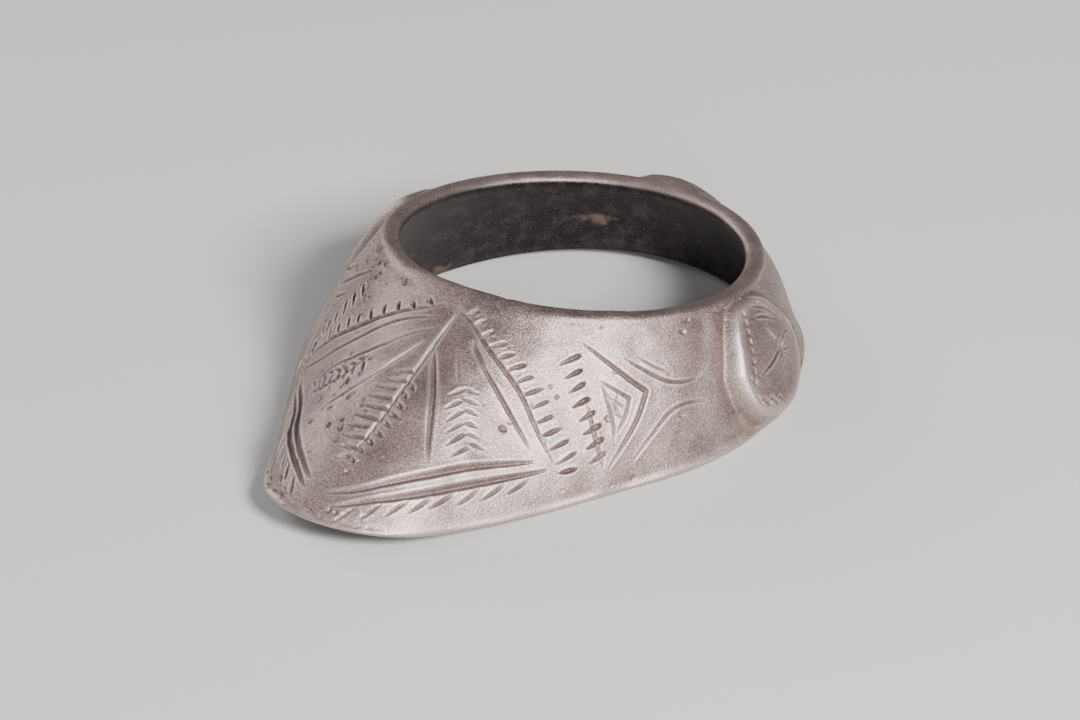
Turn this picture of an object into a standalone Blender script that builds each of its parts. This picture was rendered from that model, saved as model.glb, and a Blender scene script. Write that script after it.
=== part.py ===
"""Archer's thumb ring: a cast silver band with a long tongue, three bosses and engraved strokes.

Lengths are millimetres until a mesh is made, and metres after that.
Angles are degrees round the thumb hole, 0 at the tongue and 90 on the wearer's right.
A share runs down the outer wall, 0 at the rim and 1 at the lower edge.
"""

import math
from typing import NamedTuple

import bmesh
import bpy
from mathutils import Vector

MM = 0.001

# Thumb hole at the rim, measured from the ring's axis
HOLE_FRONT = 10.0
HOLE_BACK = 13.1
HOLE_HALF_WIDTH = 10.55
HOLE_SHIFT = -0.35

# Height of the rim above the surface that the ring lies on
RIM_HEIGHT_TONGUE = 10.65
RIM_HEIGHT_RIGHT = 8.55
RIM_HEIGHT_LEFT = 8.9
RIM_HEIGHT_BACK = 7.05
RIM_WALL = 1.25
RIM_ROUND = 0.5
RIM_CROWN = 0.11
SHOULDER_DROP = 0.2

# Lower edge in plan: an oval band that runs into a round-tipped tongue
BAND_HALF_WIDTH = 15.7
BAND_BACK = 17.15
BAND_SHIFT = -0.95
TONGUE_REACH = 26.3
TONGUE_TIP_RADIUS = 6.95
EDGE_WALL = 1.95
EDGE_ROUND = 0.35

# Lower edge off the surface: it touches along both flanks only
TIP_LIFT = 1.6
TIP_LIFT_START = 13.4
BACK_LIFT = 0.55
BACK_LIFT_START = 4.0
BOSS_LIFT = 0.55
BOSS_LIFT_ANGLE = 118.0
BOSS_LIFT_SPREAD = 17.0

# Outer wall's bow, as angles off the straight line from rim to edge, in degrees
TONGUE_TOP_BOW = 4.5
TONGUE_LIP_BOW = 22.0
BAND_BOW = 8.0
TONGUE_HANDLE = 0.17
BAND_HANDLE = 0.33
TONGUE_ROOT = 2.2

# Bosses: leaf-shaped, as tall as the wall, the left one set further back than the right
BOSS_AXIS = 7.5
BOSS_SPREAD = 97.5
LEFT_BOSS_BACK = 8.5
RIGHT_HALF_ANGLE = 19.0
LEFT_HALF_ANGLE = 17.5
BACK_HALF_ANGLE = 17.5
BOSS_PROUD = 0.95
BOSS_FAR_PROUD = 0.35
BOSS_BEVEL = 0.17
BOSS_SQUARENESS = 2.6
BOSS_TAPER = 0.45
BOSS_ROOT = 0.6

# Engraver's strokes
GROOVE_WIDTH = 0.42
GROOVE_DEPTH = 0.2
TICK_WIDTH = 0.5
TICK_DEPTH = 0.26
HATCH_WIDTH = 0.34
HATCH_DEPTH = 0.17
BORDER_WIDTH = 0.62
BORDER_DEPTH = 0.26
LADDER_TICK = 1.15
TICK_RISE = 0.4
SECOND_TICK_RISE = 0.3
FERN_BARB = 1.75
BARB_FALL = 0.4
BARB_FALL_SIDE = 0.2
EAR_WIDTH = 0.8
EAR_FALL = 0.75
EAR_FALL_SIDE = 0.2
HATCH_GAP = 0.35
HATCH_ACROSS = 0.55
HATCH_DOWN = 1.25
LADDER_TICKS = 13
SECOND_TICKS = 8
FERN_BARBS = 9
EAR_CHEVRONS = 6
EDGE_HATCHES = 8
BOSS_DOTS = 7

# Facets
STATIONS = 88
WALL_STEPS = 9
INNER_STEPS = 6
RIM_STEPS = 4
BOSS_SIDES = 32
BOSS_RINGS = (1.0, 0.91, 0.83, 0.5)
STROKE_STEP = 1.5
STROKE_CLEARANCE = 0.1

SILVER = (0.40, 0.37, 0.35, 1.0)


def around(theta, tongue, right, back, left):
    """A value that passes smoothly through its four values round the hole."""
    c, s = math.cos(theta), math.sin(theta)
    side = (right + left) / 2 + (right - left) / 2 * s
    return side + (tongue - back) / 2 * c + ((tongue + back) / 2 - side) * c * c


def turn_from(angle, middle):
    """Signed degrees from a middle angle, the short way round."""
    return (angle - middle + 180) % 360 - 180


def blend(theta, tongue, band):
    """Tongue value at the tongue, band value round the rest."""
    c = max(0.0, math.cos(theta))
    return band + (tongue - band) * c * c


def hole_radius(theta):
    """Distance from the axis to the hole's oval edge."""
    long_half = (HOLE_FRONT + HOLE_BACK) / 2
    x, y = math.sin(theta) / HOLE_HALF_WIDTH, -math.cos(theta) / long_half
    cx, cy = HOLE_SHIFT / HOLE_HALF_WIDTH, (HOLE_BACK - HOLE_FRONT) / 2 / long_half
    a, b, c = x * x + y * y, x * cx + y * cy, cx * cx + cy * cy - 1
    return (b + math.sqrt(b * b - a * c)) / a


def rim_height(theta):
    """Height of the rim's crown."""
    return around(theta, RIM_HEIGHT_TONGUE, RIM_HEIGHT_RIGHT, RIM_HEIGHT_BACK, RIM_HEIGHT_LEFT)


def edge_support(phi):
    """How far the lower edge's outline reaches in a direction: the band or the tongue's tip."""
    x, y = math.sin(phi), -math.cos(phi)
    band = BAND_SHIFT * x + math.hypot(BAND_HALF_WIDTH * x, BAND_BACK * y)
    tip = -(TONGUE_REACH - TONGUE_TIP_RADIUS) * y + TONGUE_TIP_RADIUS
    return max(band, tip)


def edge_radius(theta):
    """Distance from the axis to the lower edge, the tightest of the outline's tangents."""
    fan = [math.radians(d) for d in range(-80, 81)]
    return min(edge_support(theta + d) / math.cos(d) for d in fan)


def edge_height(theta):
    """Lift of the lower edge off the surface: tip, back and right boss stand clear."""
    y = -edge_radius(theta) * math.cos(theta)
    tip = max(0.0, (-y - TIP_LIFT_START) / (TONGUE_REACH - TIP_LIFT_START))
    back = max(0.0, (y - BACK_LIFT_START) / (BAND_BACK - BACK_LIFT_START))
    off_boss = turn_from(math.degrees(theta), BOSS_LIFT_ANGLE) / BOSS_LIFT_SPREAD
    boss = max(0.0, 1 - (off_boss / 2) ** 2) ** 2
    return TIP_LIFT * tip ** 2 + BACK_LIFT * back ** 1.5 + BOSS_LIFT * boss


def handles(theta, start, end):
    """Four control points of the outer wall's curve, as radius and height."""
    run, drop = end[0] - start[0], start[1] - end[1]
    length, slope = math.hypot(run, drop), math.atan2(drop, run)
    top = slope - math.radians(blend(theta, TONGUE_TOP_BOW, BAND_BOW))
    lip = slope + math.radians(blend(theta, TONGUE_LIP_BOW, BAND_BOW))
    reach = length * blend(theta, TONGUE_HANDLE, BAND_HANDLE)
    first = (start[0] + length / 3 * math.cos(top), start[1] - length / 3 * math.sin(top))
    second = (end[0] - reach * math.cos(lip), end[1] + reach * math.sin(lip))
    return start, first, second, end


def bezier(points, share):
    """Point of a cubic curve."""
    u = 1 - share
    weights = (u ** 3, 3 * u * u * share, 3 * u * share * share, share ** 3)
    return tuple(sum(w * p[k] for w, p in zip(weights, points)) for k in (0, 1))


def outer_curve(theta):
    """Outer wall from the rim's shoulder to the lower edge."""
    drop = RIM_ROUND / 2 + blend(theta, SHOULDER_DROP, 0)
    shoulder = (hole_radius(theta) + RIM_WALL, rim_height(theta) - drop)
    edge = (edge_radius(theta), edge_height(theta) + EDGE_ROUND)
    return handles(theta, shoulder, edge)


def inner_curve(theta):
    """Inner wall: straight down at the tongue's root, then along under the outer wall."""
    top = (hole_radius(theta), rim_height(theta) - RIM_ROUND)
    foot = (edge_radius(theta) - EDGE_WALL, edge_height(theta) + EDGE_ROUND / 2)
    start, first, second, end = handles(theta, top, foot)
    root = max(0.0, math.cos(theta)) ** 2
    first = (first[0] - (first[0] - top[0]) * root * 0.8, first[1] - TONGUE_ROOT * root * 0.3)
    return start, first, second, end


def rim_curve(theta):
    """The rim: straight up off the inner wall, over, and into the outer wall's slope."""
    outer, inner = outer_curve(theta), inner_curve(theta)
    crown = rim_height(theta) + RIM_CROWN
    shoulder, below = outer[0], outer[1]
    slope = (shoulder[1] - below[1]) / (below[0] - shoulder[0])
    over = (shoulder[0] - (crown - shoulder[1]) / slope, crown)
    return inner[0], (inner[0][0], crown), over, shoulder


def section(theta):
    """Closed outline of the wall at an angle, down the outside and up the inside."""
    outer, inner = outer_curve(theta), inner_curve(theta)
    edge, foot = outer[-1], inner[-1]
    ground = edge_height(theta)
    loop = [bezier(outer, k / WALL_STEPS) for k in range(WALL_STEPS + 1)]
    loop.append((edge[0] - EDGE_ROUND * 0.3, ground + EDGE_ROUND * 0.3))
    loop.append((edge[0] - EDGE_ROUND, ground))
    loop.append((foot[0] + EDGE_ROUND, ground))
    loop += [bezier(inner, 1 - k / INNER_STEPS) for k in range(INNER_STEPS + 1)]
    rim = rim_curve(theta)
    loop += [bezier(rim, k / (RIM_STEPS + 1)) for k in range(1, RIM_STEPS + 1)]
    return loop


def to_world(radius, height, theta):
    """Radius, height and angle to a point in millimetres."""
    return Vector((radius * math.sin(theta), -radius * math.cos(theta), height))


class Boss(NamedTuple):
    """A boss's middle angle, the side its high edge faces, its top and foot, half angle and lean."""

    middle: float
    high_side: int
    top: float
    foot: float
    half_angle: float
    lean: float


def bosses():
    """The right, left and back boss."""
    left = BOSS_AXIS - BOSS_SPREAD - LEFT_BOSS_BACK
    return [
        Boss(BOSS_AXIS + BOSS_SPREAD, -1, 0.02, 1.03, RIGHT_HALF_ANGLE, 0.3),
        Boss(left, 1, 0.02, 0.97, LEFT_HALF_ANGLE, 0.0),
        Boss(BOSS_AXIS + 180, -1, -0.04, 0.93, BACK_HALF_ANGLE, -0.2),
    ]


def boss_height(theta, share):
    """How far a boss stands off the wall at an angle and share."""
    for boss in bosses():
        across = turn_from(math.degrees(theta), boss.middle) / boss.half_angle
        down = (2 * share - boss.foot - boss.top) / (boss.foot - boss.top)
        taper = 1 + BOSS_TAPER * max(0.0, -down)
        reach = abs(across * taper) ** BOSS_SQUARENESS + abs(down) ** BOSS_SQUARENESS
        reach = reach ** (1 / BOSS_SQUARENESS)
        if reach < 1:
            mean, half = (BOSS_PROUD + BOSS_FAR_PROUD) / 2, (BOSS_PROUD - BOSS_FAR_PROUD) / 2
            proud = (mean + half * across * boss.high_side) * (1 + boss.lean * down)
            return proud * math.sqrt(min(1.0, (1 - reach) / BOSS_BEVEL))
    return 0.0


def wall_point(theta, share):
    """Point of the plain outer wall."""
    radius, height = bezier(outer_curve(theta), share)
    return to_world(radius, height, theta)


def wall_frame(theta, share):
    """Point of the plain outer wall with its outward normal."""
    step = 0.01
    point = wall_point(theta, share)
    along = wall_point(theta + step, share) - wall_point(theta - step, share)
    down = wall_point(theta, share + step) - wall_point(theta, share - step)
    return point, down.cross(along).normalized()


def surface_frame(theta_deg, share):
    """Point of the finished surface, on a boss where there is one, with the wall's normal."""
    theta = math.radians(theta_deg)
    point, normal = wall_frame(theta, share)
    return point + normal * boss_height(theta, share), normal


def new_object(name, bm, collection):
    """Object from a bmesh in millimetres."""
    bmesh.ops.recalc_face_normals(bm, faces=bm.faces)
    bmesh.ops.scale(bm, vec=Vector((MM, MM, MM)), verts=bm.verts)
    mesh = bpy.data.meshes.new(name)
    bm.to_mesh(mesh)
    bm.free()
    made = bpy.data.objects.new(name, mesh)
    collection.objects.link(made)
    return made


def band_blank():
    """The plain ring: a loft of wall sections carried round the hole."""
    bm = bmesh.new()
    rings = []
    for k in range(STATIONS):
        theta = 2 * math.pi * k / STATIONS
        rings.append([bm.verts.new(to_world(r, z, theta)) for r, z in section(theta)])
    for k, ring in enumerate(rings):
        beside = rings[(k + 1) % STATIONS]
        for j in range(len(ring)):
            after = (j + 1) % len(ring)
            bm.faces.new((ring[j], ring[after], beside[after], beside[j]))
    return bm


def add_boss_blank(bm, boss):
    """One boss: leaf-shaped rings that climb from inside the wall to a low crown."""

    def place(reach, turn, sunk):
        across = abs(math.sin(turn)) ** (2 / BOSS_SQUARENESS) * math.copysign(1, math.sin(turn))
        down = -abs(math.cos(turn)) ** (2 / BOSS_SQUARENESS) * math.copysign(1, math.cos(turn))
        down *= reach
        across *= reach / (1 + BOSS_TAPER * max(0.0, -down))
        theta = math.radians(boss.middle + across * boss.half_angle)
        share = (boss.top + boss.foot + down * (boss.foot - boss.top)) / 2
        point, normal = wall_frame(theta, share)
        height = -BOSS_ROOT if sunk else boss_height(theta, share)
        return bm.verts.new(point + normal * height)

    turns = [2 * math.pi * (k + 0.5) / BOSS_SIDES for k in range(BOSS_SIDES)]
    rings = [[place(1.0, turn, True) for turn in turns]]
    rings += [[place(reach, turn, False) for turn in turns] for reach in BOSS_RINGS]
    for low, high in zip(rings, rings[1:]):
        for k in range(BOSS_SIDES):
            after = (k + 1) % BOSS_SIDES
            bm.faces.new((low[k], low[after], high[after], high[k]))
    for ring, sunk in ((rings[0], True), (rings[-1], False)):
        crown = place(0.0, 0.0, sunk)
        for k in range(BOSS_SIDES):
            bm.faces.new((ring[k], ring[(k + 1) % BOSS_SIDES], crown))


def resample(route):
    """Points along a route of (angle, share) pairs, about a stroke step apart."""
    places = [surface_frame(*pair)[0] for pair in route]
    out = [route[0]]
    for (a, b), (p, q) in zip(zip(route, route[1:]), zip(places, places[1:])):
        steps = max(1, round((q - p).length / STROKE_STEP))
        for k in range(1, steps + 1):
            f = k / steps
            out.append((a[0] + (b[0] - a[0]) * f, a[1] + (b[1] - a[1]) * f))
    if len(out) == 2:
        out.insert(1, ((out[0][0] + out[1][0]) / 2, (out[0][1] + out[1][1]) / 2))
    return out


def cut_stroke(bm, route, width, depth):
    """A three-sided spindle along a route: a V-cut that runs out at both ends."""
    frames = [surface_frame(*pair) for pair in resample(route)]
    last = len(frames) - 1
    rows = []
    for k, (point, normal) in enumerate(frames):
        if k in (0, last):
            rows.append([bm.verts.new(point + normal * STROKE_CLEARANCE / 4)])
            continue
        ahead = (frames[k + 1][0] - frames[k - 1][0]).normalized()
        beside = normal.cross(ahead).normalized()
        full = math.sin(math.pi * (0.2 + 0.6 * k / last))
        sunk = depth * full
        half = width * full / 2 * (sunk + STROKE_CLEARANCE) / sunk
        top = point + normal * STROKE_CLEARANCE
        corners = (top + beside * half, top - beside * half, point - normal * sunk)
        rows.append([bm.verts.new(corner) for corner in corners])
    for row, beyond in zip(rows, rows[1:]):
        for k in range(3):
            after = (k + 1) % 3
            if len(row) == 1:
                bm.faces.new((row[0], beyond[k], beyond[after]))
            elif len(beyond) == 1:
                bm.faces.new((row[k], row[after], beyond[0]))
            else:
                bm.faces.new((row[k], row[after], beyond[after], beyond[k]))


def along(route, share):
    """The (angle, share) pair at a fraction of a route's length."""
    places = [surface_frame(*pair)[0] for pair in route]
    lengths = [(q - p).length for p, q in zip(places, places[1:])]
    left = share * sum(lengths)
    for (a, b), length in zip(zip(route, route[1:]), lengths):
        if left <= length:
            f = left / length
            return a[0] + (b[0] - a[0]) * f, a[1] + (b[1] - a[1]) * f
        left -= length
    return route[-1]


def stepped(pair, across, down):
    """The pair a number of millimetres across and down the wall from another."""
    theta = math.radians(pair[0])
    radius = bezier(outer_curve(theta), pair[1])[0]
    slant = (wall_point(theta, pair[1] + 0.02) - wall_point(theta, pair[1] - 0.02)).length / 0.04
    return pair[0] + math.degrees(across / radius), pair[1] + down / slant


def ticks(route, count, across, down, start=0.0):
    """Short strokes that set out from a route, all one way."""
    out = []
    for k in range(count):
        root = along(route, start + (1 - start) * k / (count - 1))
        out.append([root, stepped(root, across, down)])
    return out


def ladder(side, route):
    """A guide line with its row of ticks on the rim's side."""
    lines = [(route, GROOVE_WIDTH, GROOVE_DEPTH)]
    for tick in ticks(route, LADDER_TICKS, side * LADDER_TICK, -TICK_RISE, 0.04):
        lines.append((tick, TICK_WIDTH, TICK_DEPTH))
    return lines


def second_row(side, route):
    """A row of deeper ticks on the band, with a short guide line through its lower half."""
    lines = [([along(route, 0.45), along(route, 1.0)], GROOVE_WIDTH, GROOVE_DEPTH)]
    for root, tip in ticks(route, SECOND_TICKS, side * LADDER_TICK, -SECOND_TICK_RISE):
        start = stepped(root, -side * LADDER_TICK / 2, SECOND_TICK_RISE / 2)
        lines.append(([start, tip], TICK_WIDTH, TICK_DEPTH))
    return lines


def fern(top, tip):
    """The tongue's middle leaf: a spine with barbs that sweep down on both sides."""
    spine = [top, tip]
    lines = [(spine, GROOVE_WIDTH * 1.2, GROOVE_DEPTH * 1.2)]
    for k in range(FERN_BARBS):
        root = along(spine, 0.4 + 0.58 * k / (FERN_BARBS - 1))
        length = FERN_BARB * (1 - 0.5 * k / FERN_BARBS)
        for side in (-1, 1):
            barb = [root, stepped(root, side * length, BARB_FALL + BARB_FALL_SIDE * side)]
            lines.append((barb, TICK_WIDTH, TICK_DEPTH))
    return lines


def ear(side, top, tip):
    """An ear of wheat: nested chevrons that point to the rim."""
    lines = []
    for k in range(EAR_CHEVRONS):
        peak = along([top, tip], k / (EAR_CHEVRONS - 1))
        for way in (-1, 1):
            foot = stepped(peak, way * EAR_WIDTH, EAR_FALL - EAR_FALL_SIDE * way * side)
            lines.append(([peak, foot], TICK_WIDTH, TICK_DEPTH))
    return lines


def edge_hatching(side, route):
    """Slanting hatches between the border and the lower edge."""
    lines = []
    for k in range(EDGE_HATCHES):
        root = along(route, 0.1 + 0.85 * k / (EDGE_HATCHES - 1))
        tip = stepped(root, -side * HATCH_ACROSS, HATCH_DOWN)
        lines.append(([stepped(root, 0, HATCH_GAP), tip], HATCH_WIDTH, HATCH_DEPTH))
    return lines


def mirrored(route):
    """The same route on the ring's other side."""
    return [(-angle, share) for angle, share in route]


def tongue_carving():
    """Every stroke on the tongue."""
    upper = [(2, 0.83), (8.5, 0.73), (15, 0.665), (22, 0.65), (31, 0.68)]
    lower = [(3, 0.89), (8, 0.81), (14.5, 0.75), (22, 0.735), (33.5, 0.745)]
    right_guide = [(3, 0.03), (12, 0.09), (22, 0.26), (27, 0.38), (34.5, 0.72)]
    left_guide = [(-2, 0.03), (-13, 0.12), (-24.5, 0.28), (-37, 0.52), (-45, 0.86)]
    left_inner = [(-1, 0.08), (-10, 0.14), (-18, 0.25), (-28, 0.46), (-38.5, 0.74)]
    lines = fern((3, 0.04), (1.5, 0.68))
    lines += ladder(1, right_guide) + ladder(-1, left_guide)
    lines += ear(1, (14.3, 0.33), (18, 0.56))
    lines += ear(-1, (-12, 0.36), (-19, 0.62))
    for route in (upper, lower, mirrored(upper), mirrored(lower)):
        lines.append((route, BORDER_WIDTH, BORDER_DEPTH))
    lines += edge_hatching(1, lower) + edge_hatching(-1, mirrored(lower))
    fields = (
        [(5, 0.22), (8.8, 0.34), (10.7, 0.46), (12.7, 0.61)],
        [(-1, 0.18), (-5.7, 0.36), (-10.5, 0.52), (-13, 0.61)],
        [(-1, 0.12), (-6, 0.19), (-10.5, 0.3)],
        [(13.8, 0.19), (18.3, 0.28), (23.8, 0.42), (29.5, 0.62)],
        left_inner,
    )
    return lines + [(list(route), GROOVE_WIDTH, GROOVE_DEPTH) for route in fields]


def flank_carving(side):
    """Strokes between the tongue and a side boss."""
    row = [(side * 37, 0.22), (side * 41, 0.45), (side * 44, 0.75)]
    chevron = [(42, 0.12), (47, 0.2), (59, 0.435), (54, 0.6), (46.5, 0.83)]
    inner = [(46.2, 0.33), (53.8, 0.45), (49, 0.65)]
    closing = [(46.5, 0.35), (48.2, 0.47), (48.4, 0.66)]
    sweep = [(54, 0.22), (61, 0.35), (66, 0.41), (73, 0.44), (79, 0.41)]
    return_sweep = [(52.5, 0.84), (58, 0.71), (64, 0.59), (70, 0.56), (78, 0.6)]
    lines = second_row(side, row)
    for route in (inner, closing, sweep, return_sweep):
        lines.append(([(side * angle, share) for angle, share in route], HATCH_WIDTH, HATCH_DEPTH))
    lines.append(([(side * angle, share) for angle, share in chevron], GROOVE_WIDTH, GROOVE_DEPTH))
    return lines


def boss_carving(boss):
    """A row of punched dots and a slanting cross on a boss's face."""
    lines = []
    for k in range(BOSS_DOTS):
        share = 0.2 + 0.46 * k / (BOSS_DOTS - 1)
        angle = boss.middle + boss.high_side * boss.half_angle * (0.2 + 0.5 * k / BOSS_DOTS)
        dot = [(angle, share - 0.02), (angle, share + 0.02)]
        lines.append((dot, HATCH_WIDTH * 1.2, HATCH_DEPTH))
    for route in (((-9, 0.6), (1, 0.57), (10, 0.6)), ((1, 0.36), (3, 0.62))):
        turned = [(boss.middle - boss.high_side * angle, share) for angle, share in route]
        lines.append((turned, HATCH_WIDTH, HATCH_DEPTH))
    return lines


def boss_blanks():
    """All three bosses, to be joined to the ring."""
    bm = bmesh.new()
    for boss in bosses():
        add_boss_blank(bm, boss)
    return bm


def stroke_cutters():
    """Every engraved stroke, to be cut from the ring."""
    lines = tongue_carving() + flank_carving(1) + flank_carving(-1)
    for boss in bosses():
        lines += boss_carving(boss)
    bm = bmesh.new()
    for route, width, depth in lines:
        cut_stroke(bm, route, width, depth)
    return bm


def apply_boolean(target, operand, operation):
    """Adds an exact Boolean to the ring, with its operand kept as a wire guide."""
    operand.hide_render = True
    operand.display_type = "WIRE"
    operand.parent = target.parent
    boolean = target.modifiers.new(operand.name, "BOOLEAN")
    boolean.operation = operation
    boolean.solver = "EXACT"
    boolean.use_self = operation == "DIFFERENCE"
    boolean.object = operand


def silver_material():
    """Toned silver: grey-brown, satin where it is worn."""
    material = bpy.data.materials.new("toned_silver")
    material.use_nodes = True
    shader = material.node_tree.nodes["Principled BSDF"]
    shader.inputs["Base Color"].default_value = SILVER
    shader.inputs["Metallic"].default_value = 0.85
    shader.inputs["Roughness"].default_value = 0.42
    return material


def new_collection(name):
    """A collection in the scene."""
    collection = bpy.data.collections.new(name)
    bpy.context.scene.collection.children.link(collection)
    return collection


def main():
    """Builds the ring with its bottom centre at the origin."""
    for old in list(bpy.data.objects):
        bpy.data.objects.remove(old, do_unlink=True)
    parts = new_collection("archer_ring")
    aids = new_collection("archer_ring_cutters")
    ring = new_object("thumb_ring", band_blank(), parts)
    ring.data.materials.append(silver_material())
    frame = bpy.data.objects.new("ring_frame", None)
    parts.objects.link(frame)
    ring.parent = frame
    apply_boolean(ring, new_object("boss_blanks", boss_blanks(), aids), "UNION")
    apply_boolean(ring, new_object("stroke_cutters", stroke_cutters(), aids), "DIFFERENCE")
    bpy.context.view_layer.update()
    shape = ring.evaluated_get(bpy.context.evaluated_depsgraph_get())
    corners = [shape.matrix_world @ Vector(corner) for corner in shape.bound_box]
    low = [min(corner[k] for corner in corners) for k in range(3)]
    high = [max(corner[k] for corner in corners) for k in range(3)]
    frame.location = (-(low[0] + high[0]) / 2, -(low[1] + high[1]) / 2, -low[2])


main()
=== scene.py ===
"""Looks of an archer's thumb ring: toned cast silver with an engraved tongue and three bosses.

Lengths are millimetres until a mesh is made. Angles are degrees round the thumb hole, 0 at the
tongue's axis. A share runs down the outer wall, 0 at the rim and 1 at the lower edge.
"""

import logging
from collections.abc import Sequence
from dataclasses import dataclass, field
from enum import Enum

import bmesh
import bpy
import numpy as np
from mathutils import Matrix, Vector


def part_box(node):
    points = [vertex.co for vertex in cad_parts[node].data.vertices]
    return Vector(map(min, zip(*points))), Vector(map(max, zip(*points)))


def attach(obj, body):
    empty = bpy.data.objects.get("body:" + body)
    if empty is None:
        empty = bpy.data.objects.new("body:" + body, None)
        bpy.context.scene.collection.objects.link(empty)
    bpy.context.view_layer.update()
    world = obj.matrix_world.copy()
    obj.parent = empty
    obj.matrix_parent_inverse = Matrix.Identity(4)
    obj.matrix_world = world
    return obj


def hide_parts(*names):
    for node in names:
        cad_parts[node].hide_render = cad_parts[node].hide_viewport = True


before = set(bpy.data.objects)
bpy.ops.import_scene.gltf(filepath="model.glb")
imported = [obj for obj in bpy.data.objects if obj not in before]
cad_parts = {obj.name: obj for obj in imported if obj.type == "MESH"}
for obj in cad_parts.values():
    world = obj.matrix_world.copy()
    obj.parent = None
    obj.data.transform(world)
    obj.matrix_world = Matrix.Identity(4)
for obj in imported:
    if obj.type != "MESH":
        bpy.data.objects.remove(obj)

LOG = logging.getLogger("archer_ring")
NODE = "thumb_ring"
MM = 0.001
PHOTO_WIDTH, PHOTO_HEIGHT = 1080, 720
TINY = 1e-9
# Millimetres that a point is sunk before it counts as cut, and carries no burr.
CUT_FROM = 0.004

Route = Sequence[tuple[float, float]]
Curve = Sequence[tuple[np.ndarray, np.ndarray]]
Tree = bpy.types.NodeTree
Socket = bpy.types.NodeSocket
Colour = tuple[float, float, float, float]


def around(theta: np.ndarray, tongue: float, right: float, back: float, left: float) -> np.ndarray:
    """A value that passes smoothly through its four values round the hole.

    Formula: side + (tongue - back) / 2 cos + ((tongue + back) / 2 - side) cos squared, where side
    goes from left to right with the sine.

    Args:
        theta: Angles in radians.
        tongue: Value at the tongue.
        right: Value on the right.
        back: Value at the back.
        left: Value on the left.

    Returns:
        The value at each angle.
    """
    c, s = np.cos(theta), np.sin(theta)
    side = (right + left) / 2 + (right - left) / 2 * s
    return side + (tongue - back) / 2 * c + ((tongue + back) / 2 - side) * c * c


def blend(theta: np.ndarray, tongue: float, band: float) -> np.ndarray:
    """Tongue value at the tongue and band value round the rest, by the squared cosine.

    Args:
        theta: Angles in radians.
        tongue: Value at the tongue.
        band: Value on the band.

    Returns:
        The value at each angle.
    """
    return band + (tongue - band) * np.clip(np.cos(theta), 0, None) ** 2


def turn_from(angle: np.ndarray, middle: float) -> np.ndarray:
    """Signed degrees from a middle angle, the short way round."""
    return (angle - middle + 180) % 360 - 180


def bezier(points: Curve, share: np.ndarray) -> tuple[np.ndarray, np.ndarray]:
    """Point of a cubic curve: the Bernstein sum of its four control points.

    Args:
        points: Four pairs of radius and height.
        share: Where on the curve, 0 to 1.

    Returns:
        Radius and height.
    """
    u = 1 - share
    weights = (u ** 3, 3 * u * u * share, 3 * u * share * share, share ** 3)
    radius = sum(w * p[0] for w, p in zip(weights, points))
    height = sum(w * p[1] for w, p in zip(weights, points))
    return radius, height


def eased(route: Route) -> np.ndarray:
    """A route with its corners eased; a point given twice stays a corner.

    Formula: Chaikin's rule three times, which swaps each corner for two points a quarter of the
    way along its two sides.

    Args:
        route: Angles and shares.

    Returns:
        The eased route in two columns.
    """
    pairs = np.asarray(route, float)
    if len(pairs) < 3:
        return pairs
    for _ in range(3):
        a, b = pairs[:-1], pairs[1:]
        inner = np.stack([0.75 * a + 0.25 * b, 0.25 * a + 0.75 * b], 1).reshape(-1, 2)
        pairs = np.concatenate([pairs[:1], inner, pairs[-1:]])
    return pairs


def to_world(radius: np.ndarray, height: np.ndarray, theta: np.ndarray) -> np.ndarray:
    """Points from radius, height and angle: (r sin, -r cos, z)."""
    return np.stack(np.broadcast_arrays(radius * np.sin(theta), -radius * np.cos(theta), height), -1)


@dataclass(frozen=True)
class Boss:
    """One raised leaf on the band, higher on the tongue's side and towards its foot.

    Its middle is in degrees, high_side is the way to the tongue, and lean is how much its height
    grows from its middle to its foot.
    """

    middle: float
    high_side: int
    top: float
    foot: float
    half_angle: float
    lean: float


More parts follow.
